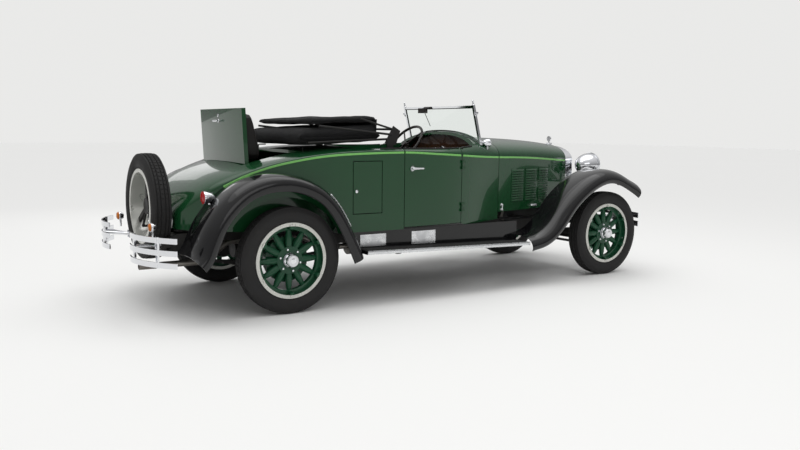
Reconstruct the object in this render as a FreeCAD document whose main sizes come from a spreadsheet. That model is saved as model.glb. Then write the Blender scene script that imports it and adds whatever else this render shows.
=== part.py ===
# Two-seat roadster of the late 1920s with a folding top, an open rumble seat,
# wooden artillery wheels with demountable rims, full fenders and running boards.
# Millimetres, +X forward, +Y to the left, +Z up. The origin lies on the floor
# under the middle of the overall box. Stations along the car are measured from
# the rear axle and every sub-part is placed at that axle, which is the datum.

import FreeCAD, Part
import Sketcher
import math
import os

Vector = FreeCAD.Vector
doc = FreeCAD.newDocument("Roadster")

# Driving sizes
# Each row is an alias, a number and what it measures.
SIZES = [
    ("overall_length", 4950, "rear bumper face to front bumper face"),
    ("rear_overhang", 1060, "rear bumper face to rear axle"),
    ("wheelbase", 3340, "rear axle to front axle"),
    ("track", 1440, "tyre centre to tyre centre"),
    ("tyre_radius", 400, "outer radius of a tyre, which is also the axle height"),
    ("tyre_width", 145, "widest section of a tyre"),
    ("rim_radius", 283, "outer radius of the rim flange"),
    ("rim_seat_radius", 262, "radius on which the tyre bead sits"),
    ("rim_inner_radius", 256, "inside of the demountable rim"),
    ("rim_width", 124, "across both rim flanges"),
    ("rim_flange", 7, "thickness of a rim flange"),
    ("felloe_inner_radius", 226, "inside of the wooden felloe"),
    ("felloe_width", 50, "felloe measured along the axle"),
    ("spoke_count", 12, "wooden spokes in a wheel"),
    ("spoke_root_radius", 20, "spoke radius at the hub"),
    ("spoke_tip_radius", 14, "spoke radius at the felloe"),
    ("hub_flange_radius", 103, "steel plates that clamp the spokes"),
    ("hub_flange_thickness", 6, "one clamping plate"),
    ("hub_radius", 52, "hub barrel"),
    ("hub_cap_radius", 47, "polished cap"),
    ("hub_cap_reach", 88, "wheel plane to the face of the cap"),
    ("lug_count", 6, "rim clamps round the felloe"),
    ("lug_width", 30, "one rim clamp"),
    ("drum_radius", 172, "brake drum"),
    ("drum_width", 52, "brake drum along the axle"),
    ("drum_wall", 8, "brake drum wall"),
    ("spindle_radius", 22, "spindle in the hub"),
    ("pin_clearance", 0.3, "running clearance at spindles, pins and hinges"),
    ("kingpin_offset", 125, "wheel plane to kingpin axis"),
    ("kingpin_radius", 11, "kingpin"),
    ("steering_arm", 170, "kingpin to the ball of the tie rod"),
    ("rail_offset", 372, "centre of a frame rail from the middle"),
    ("rail_width", 55, "flange of a frame rail"),
    ("rail_depth", 120, "deepest part of a frame rail"),
    ("rail_plate", 6, "plate that the rails are pressed from"),
    ("rail_top", 560, "top of the rails between the axles"),
    ("rail_kick", 55, "how far the rails rise over the rear axle"),
    ("tow_eye_reach", 57, "front cross tube to the tow eye"),
    ("tow_eye_bore", 14, "radius of the tow eye"),
    ("spring_length", 820, "front leaf spring, eye to eye"),
    ("rear_spring_length", 1180, "rear leaf spring, eye to eye"),
    ("spring_width", 45, "leaf width"),
    ("leaf_thickness", 7, "one leaf"),
    ("leaf_count", 7, "leaves in a spring"),
    ("beam_depth", 62, "front axle beam"),
    ("beam_width", 46, "front axle beam"),
    ("axle_tube_radius", 38, "rear axle tube"),
    ("body_half_width", 720, "outside of the doors from the middle"),
    ("body_skin", 24, "wall of the body and cowl"),
    ("door_wall", 36, "thickness of a door"),
    ("bonnet_skin", 5, "bonnet sheet with its folded edge"),
    ("sill_height", 568, "underside of the body"),
    ("seam_station", 2165, "joint between bonnet and cowl"),
    ("door_front", 1640, "front edge of a door"),
    ("door_rear", 1030, "rear edge of a door"),
    ("door_bottom", 585, "lower edge of a door"),
    ("panel_gap", 6, "open joint round doors, lids and bonnet panels"),
    ("cowl_rear", 1900, "rear edge of the cowl at its crown"),
    ("lid_half_width", 445, "rumble lid from the middle"),
    ("lid_hinge_station", -215, "hinge line of the rumble lid"),
    ("lid_opening_front", 330, "front end of the rumble opening"),
    ("lid_thickness", 32, "rumble lid"),
    ("locker_front", 815, "front edge of the side locker door"),
    ("locker_rear", 560, "rear edge of the side locker door"),
    ("locker_bottom", 715, "lower edge of the side locker door"),
    ("locker_top", 1120, "upper edge of the side locker door"),
    ("fender_half_width", 880, "outer face of the fenders"),
    ("fender_skin", 4, "fender sheet with its rolled edge"),
    ("fender_skirt", 82, "depth of the turned down outer band"),
    ("board_front", 2272, "front end of a running board"),
    ("board_rear", 597, "rear end of a running board"),
    ("board_inner", 700, "inner edge of a running board from the middle"),
    ("board_thickness", 26, "running board"),
    ("radiator_station", 3225, "rear face of the radiator shell"),
    ("radiator_depth", 105, "radiator shell, front to rear"),
    ("radiator_half_width", 292, "outside of the radiator shell"),
    ("radiator_wall", 30, "front lip of the radiator shell"),
    ("radiator_top", 1222, "crown of the radiator shell"),
    ("glass_thickness", 6, "plate glass"),
    ("screen_base_station", 1958, "foot of the windscreen"),
    ("screen_base_height", 1204, "foot of the windscreen posts"),
    ("screen_top_station", 1860, "top of the windscreen"),
    ("screen_top_height", 1586, "top of the windscreen"),
    ("screen_half_width", 540, "windscreen post from the middle"),
    ("post_size", 22, "windscreen post section"),
    ("steering_wheel_radius", 215, "centre line of the steering wheel rim"),
    ("steering_wheel_grip", 13, "radius of the rim section"),
    ("headlamp_radius", 122, "headlamp rim"),
    ("headlamp_offset", 420, "headlamp from the middle"),
    ("headlamp_height", 1040, "centre of the headlamps"),
    ("bumper_bar_height", 52, "one flat bumper bar"),
    ("bumper_bar_thickness", 9, "one flat bumper bar"),
    ("spare_station", -826, "middle plane of the spare tyre"),
    ("spare_height", 776, "centre of the spare tyre"),
    ("tailpipe_radius", 24, "exhaust pipe"),
]

sheet = doc.addObject("Spreadsheet::Sheet", "Sizes")
for row, (alias, number, meaning) in enumerate(SIZES, start=1):
    sheet.set(f"A{row}", alias)
    sheet.set(f"B{row}", str(number))
    sheet.set(f"C{row}", meaning)
    sheet.setAlias(f"B{row}", alias)
doc.recompute()


class Length:
    """A number together with the formula that gives it in the document."""

    def __init__(self, number, formula):
        self.number = float(number)
        self.formula = formula

    def __float__(self):
        return self.number

    def __add__(self, other):
        return Length(self.number + float(other), f"({self.formula} + {text(other)})")

    def __radd__(self, other):
        return Length(float(other) + self.number, f"({text(other)} + {self.formula})")

    def __sub__(self, other):
        return Length(self.number - float(other), f"({self.formula} - {text(other)})")

    def __rsub__(self, other):
        return Length(float(other) - self.number, f"({text(other)} - {self.formula})")

    def __mul__(self, other):
        return Length(self.number * float(other), f"({self.formula} * {text(other)})")

    def __rmul__(self, other):
        return self * other

    def __truediv__(self, other):
        return Length(self.number / float(other), f"({self.formula} / {text(other)})")

    def __neg__(self):
        return Length(-self.number, f"(-1 * {self.formula})")


def text(amount):
    """The formula of a length, or a plain number as it is written in a formula."""
    if isinstance(amount, Length):
        return amount.formula
    return f"({float(amount):.9g})"


class Sheet:
    """Sizes read from the spreadsheet by their alias."""

    def __getattr__(self, alias):
        return Length(sheet.get(alias), f"Sizes.{alias}")


size = Sheet()
subparts = []


def bind(thing, **properties):
    """Sets properties of an object, and ties those that are lengths to the sheet."""
    for name, amount in properties.items():
        setattr(thing, name, float(amount))
        if isinstance(amount, Length):
            thing.setExpression(name, amount.formula)
    return thing


def place(thing, x=0.0, y=0.0, z=0.0, axis=(0, 0, 1), angle=0.0):
    """Puts an object at x, y, z, turned about an axis, and ties lengths to the sheet."""
    rotation = FreeCAD.Rotation(Vector(*axis), float(angle))
    thing.Placement = FreeCAD.Placement(Vector(float(x), float(y), float(z)), rotation)
    for letter, amount in (("x", x), ("y", y), ("z", z)):
        if isinstance(amount, Length):
            thing.setExpression(f"Placement.Base.{letter}", amount.formula)
    return thing


def subpart(thing, label):
    """Names a finished sub-part and lists it for export."""
    thing.Label = label
    subparts.append(thing)
    return thing


rear_axle = -size.overall_length / 2 + size.rear_overhang
front_axle = size.wheelbase


def seat_at_rear_axle(thing, label):
    """A sub-part drawn in stations from the rear axle, put where that axle is."""
    place(thing, x=rear_axle)
    return subpart(thing, label)


def feature(shape, label, placed=True):
    """A sub-part whose form comes from the functions below."""
    thing = doc.addObject("Part::Feature", label)
    moved = not shape.Placement.isIdentity()
    thing.Shape = Part.makeCompound([shape]) if moved else shape
    if placed:
        return seat_at_rear_axle(thing, label)
    return subpart(thing, label)


def body_plane(body, role):
    """One of the origin planes or axes of a body."""
    return [item for item in body.Origin.OriginFeatures if item.Role == role][0]


def sketch(body, name, role, corners, bends=None):
    """A closed outline on an origin plane.

    Each corner is a pair of lengths. A bend maps the number of a side to the
    radius of the arc that replaces it, negative where the arc bows the other way.
    """
    bends = bends or {}
    drawing = body.newObject("Sketcher::SketchObject", name)
    drawing.AttachmentSupport = [(body_plane(body, role), "")]
    drawing.MapMode = "FlatFace"
    points = [Vector(float(u), float(v), 0) for u, v in corners]
    for side, start in enumerate(points):
        end = points[(side + 1) % len(points)]
        if side in bends:
            drawing.addGeometry(arc_between(start, end, float(bends[side])), False)
        else:
            drawing.addGeometry(Part.LineSegment(start, end), False)
    tie_corners(drawing, corners, bends)
    return drawing


def arc_between(start, end, radius):
    """An arc of a given radius from start to end, bowed to the left if positive."""
    chord = end - start
    middle = (start + end) / 2
    normal = Vector(-chord.y, chord.x, 0).normalize()
    bow = abs(radius) - math.sqrt(max(radius * radius - chord.Length ** 2 / 4, 0))
    through = middle + normal * math.copysign(bow, radius)
    return Part.Arc(start, through, end)


def arc_radius(half_chord, rise):
    """The radius of an arc that rises by a given amount over its chord."""
    return (half_chord * half_chord + rise * rise) / (rise * 2)


def tie_corners(drawing, corners, bends):
    """Joins the sides of an outline and ties its corners and radii to the sheet."""
    total = len(corners)
    ends = []
    for side in range(total):
        turned = side in bends and float(bends[side]) > 0
        ends.append((2, 1) if turned else (1, 2))
    for side in range(total):
        after = (side + 1) % total
        drawing.addConstraint(Sketcher.Constraint(
            "Coincident", side, ends[side][1], after, ends[after][0]))
    for side, (u, v) in enumerate(corners):
        for kind, amount in (("DistanceX", u), ("DistanceY", v)):
            if float(amount) == 0 and not isinstance(amount, Length):
                on = "Vertical" if kind == "DistanceX" else "Horizontal"
                drawing.addConstraint(Sketcher.Constraint(
                    on, -1, 1, side, ends[side][0]))
                continue
            number = drawing.addConstraint(Sketcher.Constraint(
                kind, -1, 1, side, ends[side][0], float(amount)))
            if isinstance(amount, Length):
                drawing.setExpression(f"Constraints[{number}]", amount.formula)
    for side, radius in bends.items():
        number = drawing.addConstraint(Sketcher.Constraint(
            "Radius", side, abs(float(radius))))
        if isinstance(radius, Length):
            amount = radius if float(radius) > 0 else -radius
            drawing.setExpression(f"Constraints[{number}]", amount.formula)


def revolve(body, drawing, name, axis="V_Axis"):
    """Turns an outline a full turn about an axis of its sketch."""
    solid = body.newObject("PartDesign::Revolution", name)
    solid.Profile = drawing
    solid.ReferenceAxis = (drawing, [axis])
    solid.Angle = 360
    return solid


def repeat_round(body, features, name, axis_role, count):
    """Repeats features round an axis of the body."""
    pattern = body.newObject("PartDesign::PolarPattern", name)
    pattern.Originals = features
    pattern.Axis = (body_plane(body, axis_role), [""])
    pattern.Angle = 360
    pattern.Occurrences = int(float(count))
    pattern.setExpression("Occurrences", text(count))
    body.Tip = pattern
    return pattern


# Wheels: tyre, and wooden wheel with its demountable rim, hub and drum
# In each of them the axle is local Y, and the outboard side is +Y.

def tyre_body(name):
    """A straight-sided balloon tyre on its beads."""
    body = doc.addObject("PartDesign::Body", name)
    crown = size.tyre_radius
    side = size.tyre_width / 2
    bead = size.rim_seat_radius + size.pin_clearance
    bead_half = size.rim_width / 2 - size.rim_flange - 2
    bulge = 18
    crown_rise = 13
    tread_half = side - bulge
    shoulder = crown - crown_rise
    wall_half = (shoulder - size.rim_radius) / 2
    corners = [
        (bead, -bead_half), (size.rim_radius, -bead_half - 1), (shoulder, -tread_half),
        (shoulder, tread_half), (size.rim_radius, bead_half + 1), (bead, bead_half),
    ]
    drawing = sketch(body, name + "_section", "XY_Plane", corners,
                     {1: -arc_radius(wall_half, bulge), 2: -arc_radius(tread_half, crown_rise),
                      3: -arc_radius(wall_half, bulge)})
    revolve(body, drawing, name + "_ring")
    return body


def rim_body(name):
    """A rolled steel rim with a flange each side."""
    body = doc.addObject("PartDesign::Body", name)
    half = size.rim_width / 2
    inner = half - size.rim_flange
    corners = [
        (size.rim_inner_radius, -half), (size.rim_radius, -half),
        (size.rim_radius, -inner), (size.rim_seat_radius, -inner),
        (size.rim_seat_radius, inner), (size.rim_radius, inner),
        (size.rim_radius, half), (size.rim_inner_radius, half),
    ]
    drawing = sketch(body, name + "_section", "XY_Plane", corners,
                     {1: -size.rim_flange * 0.55, 5: -size.rim_flange * 0.55})
    revolve(body, drawing, name + "_ring")
    return body


def wheel_body(name):
    """A twelve-spoke artillery wheel with rim, steel hub, rim clamps and brake drum."""
    body = doc.addObject("PartDesign::Body", name)
    felloe_half = size.felloe_width / 2
    felloe_outer = size.rim_inner_radius
    inboard = -felloe_half - 8 - size.drum_width
    plate = size.spoke_root_radius + size.hub_flange_thickness

    rim_half = size.rim_width / 2
    bed_half = rim_half - size.rim_flange
    felloe = sketch(body, name + "_felloe_section", "XY_Plane", [
        (size.felloe_inner_radius, -felloe_half + 6), (size.felloe_inner_radius + 6, -felloe_half),
        (size.rim_inner_radius, -felloe_half), (size.rim_inner_radius, -rim_half),
        (size.rim_radius, -rim_half), (size.rim_radius, -bed_half),
        (size.rim_seat_radius, -bed_half), (size.rim_seat_radius, bed_half),
        (size.rim_radius, bed_half), (size.rim_radius, rim_half),
        (size.rim_inner_radius, rim_half), (size.rim_inner_radius, felloe_half),
        (size.felloe_inner_radius + 6, felloe_half), (size.felloe_inner_radius, felloe_half - 6),
    ], {4: -size.rim_flange * 0.55, 8: -size.rim_flange * 0.55})
    revolve(body, felloe, name + "_felloe")

    root = size.hub_flange_radius - 30
    tip = size.felloe_inner_radius + 8
    spoke = sketch(body, name + "_spoke_section", "YZ_Plane", [
        (0, root), (size.spoke_root_radius, root), (size.spoke_tip_radius, tip), (0, tip),
    ], {1: -(tip - root) * 2.2})
    turned = revolve(body, spoke, name + "_spoke")
    spokes = repeat_round(body, [turned], name + "_spokes", "Y_Axis", size.spoke_count)

    lug = sketch(body, name + "_lug_section", "YZ_Plane", [
        (felloe_half - 1, size.felloe_inner_radius + 5),
        (size.rim_width / 2 + 5, size.felloe_inner_radius + 14),
        (size.rim_width / 2 + 7, size.rim_inner_radius + 12),
        (size.rim_width / 2 + 1, size.rim_inner_radius + 12),
        (size.rim_width / 2 + 1, felloe_outer - 2),
        (felloe_half - 1, felloe_outer - 2),
    ])
    clamp = body.newObject("PartDesign::Pad", name + "_lug")
    clamp.Profile = lug
    clamp.Midplane = True
    bind(clamp, Length=size.lug_width)
    repeat_round(body, [clamp], name + "_lugs", "Y_Axis", size.lug_count)

    bore = size.spindle_radius + size.pin_clearance
    hub = sketch(body, name + "_hub_section", "XY_Plane", [
        (0, size.hub_cap_reach), (size.hub_cap_radius - 6, size.hub_cap_reach),
        (size.hub_cap_radius, size.hub_cap_reach - 8), (size.hub_cap_radius, plate),
        (size.hub_flange_radius, plate), (size.hub_flange_radius, -plate),
        (size.drum_radius, inboard + size.drum_width), (size.drum_radius, inboard),
        (size.drum_radius - size.drum_wall, inboard),
        (size.drum_radius - size.drum_wall, inboard + size.drum_width - size.drum_wall),
        (size.hub_radius, inboard + size.drum_width - size.drum_wall),
        (size.hub_radius, inboard + 6), (bore, inboard + 6), (bore, plate), (0, plate),
    ])
    revolve(body, hub, name + "_hub")
    return body


CORNERS = [
    ("front_left", front_axle, 1), ("front_right", front_axle, -1),
    ("rear_left", 0, 1), ("rear_right", 0, -1),
]
for corner, station, side in CORNERS:
    for kind, make in (("tyre", tyre_body), ("wheel", wheel_body)):
        body = make(f"{kind}_{corner}")
        place(body, x=rear_axle + station, y=size.track / 2 * side, z=size.tyre_radius,
              angle=0 if side > 0 else 180)
        subpart(body, f"{kind}_{corner}")

spare_tyre = tyre_body("spare_tyre")
spare_rim = rim_body("spare_rim")
for body in (spare_tyre, spare_rim):
    place(body, x=rear_axle + size.spare_station, z=size.spare_height, angle=90)
    subpart(body, body.Name)


# Plain solids tied to the sheet

def box(name, xs, ys, zs):
    """A box between two stations, two widths and two heights."""
    block = doc.addObject("Part::Box", name)
    bind(block, Length=xs[1] - xs[0], Width=ys[1] - ys[0], Height=zs[1] - zs[0])
    return place(block, x=xs[0], y=ys[0], z=zs[0])


TURNS = {"x": ((0, 1, 0), 90), "y": ((1, 0, 0), -90), "z": ((0, 0, 1), 0)}


def rod(name, direction, start, radius, length):
    """A cylinder along one of the three directions."""
    axis, angle = TURNS[direction]
    solid = doc.addObject("Part::Cylinder", name)
    bind(solid, Radius=radius, Height=length)
    return place(solid, *start, axis=axis, angle=angle)


def ball(name, centre, radius):
    """A sphere."""
    solid = doc.addObject("Part::Sphere", name)
    bind(solid, Radius=radius)
    return place(solid, *centre)


def fuse(name, pieces):
    """Several solids made one."""
    whole = doc.addObject("Part::MultiFuse", name)
    whole.Shapes = pieces
    whole.Refine = True
    return whole


def minus(name, base, tool):
    """A solid with another cut from it."""
    rest = doc.addObject("Part::Cut", name)
    rest.Base = base
    rest.Tool = tool
    rest.Refine = True
    return rest


def point(x, y, z):
    """A point from three lengths."""
    return Vector(float(x), float(y), float(z))


def tube_between(start, end, radius, end_radius=None):
    """A round bar between two points, tapered if a second radius is given."""
    run = end - start
    if end_radius is None:
        return Part.makeCylinder(float(radius), run.Length, start, run)
    return Part.makeCone(float(radius), float(end_radius), run.Length, start, run)


def side_plate(outline, y_from, y_to):
    """An outline in the side view, given depth across the car."""
    points = [point(x, y_from, z) for x, z in outline]
    face = Part.Face(Part.makePolygon(points + points[:1]))
    return face.extrude(Vector(0, float(y_to) - float(y_from), 0))


def join(shapes):
    """Shapes fused and cleaned of the edges between them."""
    whole = shapes[0]
    if len(shapes) > 1:
        whole = whole.multiFuse(shapes[1:])
    clean = whole.removeSplitter()
    return clean if clean.isValid() else whole


def across(shape):
    """A shape mirrored to the other side of the car."""
    return shape.mirror(Vector(0, 0, 0), Vector(0, 1, 0))


# Frame: two pressed channel rails with a rise over the rear axle, and cross members

def rail_line(station_depths, plate):
    """The outline of a rail moved in by the plate thickness."""
    top = [(x, z - plate) for x, z, depth in station_depths]
    bottom = [(x, z - depth + plate) for x, z, depth in reversed(station_depths)]
    return top + bottom


def frame_stations():
    """Station, height of the top flange and depth along a frame rail."""
    top = float(size.rail_top)
    kick = float(size.rail_kick)
    depth = float(size.rail_depth)
    front = float(front_axle)
    return [
        (-850, top - 8, depth * 0.5), (-720, top + kick * 0.75, depth * 0.62),
        (-480, top + kick, depth * 0.68), (340, top + kick, depth * 0.68),
        (640, top, depth), (front - 700, top, depth), (front - 190, top, depth * 0.78),
        (front + 250, top - 26, depth * 0.58), (front + 425, top - 58, depth * 0.42),
    ]


def chassis_frame():
    """Side rails and the cross members between them."""
    stations = frame_stations()
    outer = float(size.rail_offset + size.rail_width / 2)
    inner = float(size.rail_offset - size.rail_width / 2)
    plate = float(size.rail_plate)
    full = side_plate(rail_line(stations, 0), inner, outer)
    channel = list(stations)
    channel[0] = (stations[0][0] + plate, stations[0][1], stations[0][2])
    channel[-1] = (stations[-1][0] - plate, stations[-1][1], stations[-1][2])
    hollow = side_plate(rail_line(channel, plate), inner - 1, outer - plate)
    rail = full.cut(hollow)
    top = float(size.rail_top)
    kick = float(size.rail_kick)
    web = outer - plate + 1
    members = []
    for station, rise, length, height in (
            (-700, kick * 0.79, 46, 44), (-430, kick, 60, 50), (520, kick * 0.33, 60, 46),
            (1500, 0, 70, 46), (float(front_axle) - 1390, 0, 70, 46),
            (float(front_axle) - 110, 0, 110, 50)):
        members.append(Part.makeBox(length, web * 2, height,
                                    Vector(station - length / 2, -web,
                                           top + rise - height - plate)))
    nose = float(front_axle) + 395
    members.append(Part.makeCylinder(19, web * 2, Vector(nose, -web, top - 84),
                                     Vector(0, 1, 0)))
    members.append(tow_eye(nose, top - 84))
    hangers = []
    for station, reach in spring_hangers():
        ground = top - 130 if reach == 0 else reach
        hangers.append(hanger(station, ground))
    one_side = join([rail] + hangers)
    return join([one_side, across(one_side)] + members)


def tow_eye(station, level):
    """A forged eye on the front cross tube, bored upright for a tow pin."""
    reach = float(size.tow_eye_reach)
    bore = float(size.tow_eye_bore)
    plate = Part.makeBox(reach, 36, 16, Vector(station, -18, level - 8))
    ring = Part.makeCylinder(bore + 14, 16, Vector(station + reach, 0, level - 8))
    hole = Part.makeCylinder(bore, 20, Vector(station + reach, 0, level - 10))
    return plate.fuse(ring).cut(hole)


def spring_hangers():
    """Stations of the spring ends and the height of each eye."""
    front_half = float(size.spring_length) / 2
    rear_half = float(size.rear_spring_length) / 2
    front = float(front_axle)
    eye = float(front_eye_height)
    rear_eye = float(rear_eye_height)
    return [(front + front_half, eye), (front - front_half, eye),
            (rear_half, rear_eye), (-rear_half, rear_eye)]


front_eye_height = size.tyre_radius + 32
rear_eye_height = size.tyre_radius + 6


def rail_underside(station):
    """Height of the lower flange at a station."""
    stations = frame_stations()
    for (x0, z0, d0), (x1, z1, d1) in zip(stations, stations[1:]):
        if x0 <= station <= x1:
            share = (station - x0) / (x1 - x0)
            return z0 - d0 + share * ((z1 - d1) - (z0 - d0))
    return stations[-1][1] - stations[-1][2]


def hanger(station, eye_height):
    """A pair of cheeks from the rail down to a spring eye."""
    outer = float(size.rail_offset + size.spring_width / 2)
    under = rail_underside(station) + 4
    cheek = 7
    cheeks = []
    for y in (outer + 1, 2 * float(size.rail_offset) - outer - cheek - 1):
        plate = Part.makeBox(36, cheek, max(under - eye_height, 4),
                             Vector(station - 18, y, eye_height))
        foot = Part.makeCylinder(18, cheek, Vector(station, y, eye_height), Vector(0, 1, 0))
        cheeks.append(plate.fuse(foot))
    bolt = Part.makeCylinder(8, float(size.spring_width) + 16,
                             Vector(station, outer - float(size.spring_width) - 8, eye_height),
                             Vector(0, 1, 0))
    return join(cheeks + [bolt])


feature(chassis_frame(), "chassis_frame")


# Leaf springs: curved leaves of falling length, an eye at each end of the longest

def leaf_pack(centre, seat, eye_height, length, above):
    """One spring whose middle sits on the axle and whose ends reach the eyes."""
    thick = float(size.leaf_thickness)
    count = int(float(size.leaf_count))
    wide = float(size.spring_width)
    half = length / 2
    y = float(size.rail_offset) - wide / 2
    first = seat + thick * (count - 1) if above else seat
    rise = eye_height - first - thick / 2
    leaves = []
    for number in range(count):
        reach = half * (1 - 0.82 * number / count)
        drop = rise * (reach / half) ** 2
        low = first - number * thick
        ends = [Vector(centre - reach, y, low + drop), Vector(centre, y, low),
                Vector(centre + reach, y, low + drop)]
        lift = Vector(0, 0, thick)
        bottom = Part.Arc(*ends).toShape()
        top = Part.Arc(*[end + lift for end in ends]).toShape()
        sides = [Part.makeLine(ends[2], ends[2] + lift), Part.makeLine(ends[0] + lift, ends[0])]
        wire = Part.Wire(Part.__sortEdges__([bottom, sides[0], top, sides[1]]))
        leaves.append(Part.Face(wire).extrude(Vector(0, wide, 0)))
    for sign in (-1, 1):
        centre_eye = Vector(centre + sign * half, y, eye_height)
        eye = Part.makeCylinder(17, wide, centre_eye, Vector(0, 1, 0))
        leaves.append(eye)
    pack = join(leaves)
    for sign in (-1, 1):
        hole = Part.makeCylinder(8.2, wide + 4,
                                 Vector(centre + sign * half, y - 2, eye_height), Vector(0, 1, 0))
        pack = pack.cut(hole)
    return pack


beam_top = size.tyre_radius - 65 + size.beam_depth / 2
tube_bottom = size.tyre_radius - size.axle_tube_radius


def leaf_springs():
    """Four springs, the front pair over the beam and the rear pair under the tubes."""
    pack_height = float(size.leaf_thickness) * float(size.leaf_count)
    front = leaf_pack(float(front_axle), float(beam_top) + 0.3, float(front_eye_height),
                      float(size.spring_length), True)
    rear = leaf_pack(0, float(tube_bottom) - 1 - pack_height, float(rear_eye_height),
                     float(size.rear_spring_length), True)
    return Part.makeCompound([front, across(front), rear, across(rear)])


feature(leaf_springs(), "leaf_springs")


# Front axle: a dropped I-section beam with an eye for each kingpin

kingpin_width = size.track / 2 - size.kingpin_offset
eye_radius = size.kingpin_radius + 14
eye_half = 38


def front_axle_beam():
    """A forged beam, dropped between the eyes, with a web pocketed from both sides."""
    station = float(front_axle)
    high = float(size.tyre_radius)
    low = high - 65
    half = float(size.beam_depth) / 2
    eye_y = float(kingpin_width)
    knee = eye_y - 75
    foot = eye_y - 190
    rim = 11
    wide = float(size.beam_width)

    def outline(margin, inset):
        upper = [(eye_y - inset, high + half * 0.8 - margin), (knee, high + half - margin),
                 (foot, low + half - margin)]
        lower = [(foot, low - half + margin), (knee, high - half + margin),
                 (eye_y - inset, high - half * 0.8 + margin)]
        right = [(-y, z) for y, z in reversed(upper)]
        left = [(-y, z) for y, z in reversed(lower)]
        return upper + right + left + lower
    corners = [Vector(station - wide / 2, y, z) for y, z in outline(0, 0)]
    beam = Part.Face(Part.makePolygon(corners + corners[:1])).extrude(Vector(wide, 0, 0))
    pocket = [Vector(0, y, z) for y, z in outline(rim, 45)]
    web = Part.Face(Part.makePolygon(pocket + pocket[:1])).extrude(Vector(wide, 0, 0))
    beam = beam.cut(web.translated(Vector(station + 6, 0, 0)))
    beam = beam.cut(web.translated(Vector(station - wide - 6, 0, 0)))
    parts = [beam]
    for sign in (-1, 1):
        foot_eye = Vector(station, sign * eye_y, high - eye_half)
        parts.append(Part.makeCylinder(float(eye_radius), 2 * eye_half, foot_eye))
        pad = float(size.rail_offset) * sign
        parts.append(Part.makeBox(96, 64, 14, Vector(station - 48, pad - 32, low + half - 14)))
    whole = join(parts)
    bore = float(size.kingpin_radius + size.pin_clearance)
    for sign in (-1, 1):
        notch = Part.makeBox(wide + 20, 60, 120,
                             Vector(station - wide / 2 - 10,
                                    sign * (eye_y + 30) - 30, high + eye_half))
        whole = whole.cut(notch)
        hole = Part.makeCylinder(bore, 200, Vector(station, sign * eye_y, high - 100))
        whole = whole.cut(hole)
    return whole


feature(front_axle_beam(), "front_axle")


# Knuckles: a yoke round the beam eye, spindle, brake plate and steering arm

hub_inboard = size.felloe_width / 2 + 8 + size.drum_width
brake_plate_y = size.track / 2 - hub_inboard - 2


def knuckle(side):
    """The stub axle of one front wheel, with its arms."""
    station = float(front_axle)
    centre = float(size.tyre_radius)
    pin_y = float(kingpin_width)
    plate_y = float(brake_plate_y)
    pieces = []
    gap = 1
    for low in (centre + eye_half + gap, centre - eye_half - gap - 16):
        pieces.append(Part.makeCylinder(float(eye_radius), 16, Vector(station, pin_y, low)))
        pieces.append(Part.makeBox(44, plate_y - pin_y, 16, Vector(station - 22, pin_y, low)))
    pieces.append(Part.makeCylinder(float(size.kingpin_radius), 2 * eye_half + 40,
                                    Vector(station, pin_y, centre - eye_half - 20)))
    tall = 2 * (eye_half + gap + 16)
    back = float(eye_radius) + 4
    pieces.append(Part.makeBox(56, max(plate_y - pin_y - back, 3), tall,
                               Vector(station - 28, pin_y + back, centre - tall / 2)))
    pieces.append(Part.makeCylinder(float(size.drum_radius) - float(size.drum_wall) - 4, 4,
                                    Vector(station, plate_y - 4, centre), Vector(0, 1, 0)))
    reach = float(size.track) / 2 + float(size.spoke_root_radius) - plate_y
    pieces.append(Part.makeCylinder(float(size.spindle_radius), reach,
                                    Vector(station, plate_y - 2, centre), Vector(0, 1, 0)))
    arm_z = centre - eye_half - gap - 8
    ball_x = station - float(size.steering_arm)
    pieces.append(side_plate([(station - 10, arm_z - 8), (station - 10, arm_z + 8),
                              (ball_x, tie_rod_height + 26), (ball_x, tie_rod_height + 14)],
                             pin_y - 9, pin_y + 7))
    pieces.append(Part.makeCylinder(13, 18, Vector(ball_x, pin_y, tie_rod_height + 12)))
    if side > 0:
        inner = float(drag_link_y)
        level = centre + eye_half + gap
        pieces.append(Part.makeBox(26, pin_y - inner, 14, Vector(station - 13, inner, level)))
        pieces.append(Part.makeCylinder(15, 14, Vector(station, inner, level)))
        return join(pieces)
    return across(join(pieces))


tie_rod_height = 300
drag_link_y = size.rail_offset + 58
for side, name in ((1, "knuckle_left"), (-1, "knuckle_right")):
    feature(knuckle(side), name)

tie_rod_station = front_axle - size.steering_arm
tie_rod_half = kingpin_width
tie_parts = [rod("tie_rod_bar", "y", (tie_rod_station, -tie_rod_half, tie_rod_height), 12,
                 tie_rod_half * 2)]
for side, name in ((-1, "right"), (1, "left")):
    tie_parts.append(rod("tie_rod_eye_" + name, "z",
                         (tie_rod_station, tie_rod_half * side, tie_rod_height - 13), 19, 24.5))
seat_at_rear_axle(fuse("tie_rod_body", tie_parts), "tie_rod")

# Steering gear: box on the left rail, column, wheel, drop arm and drag link

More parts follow.
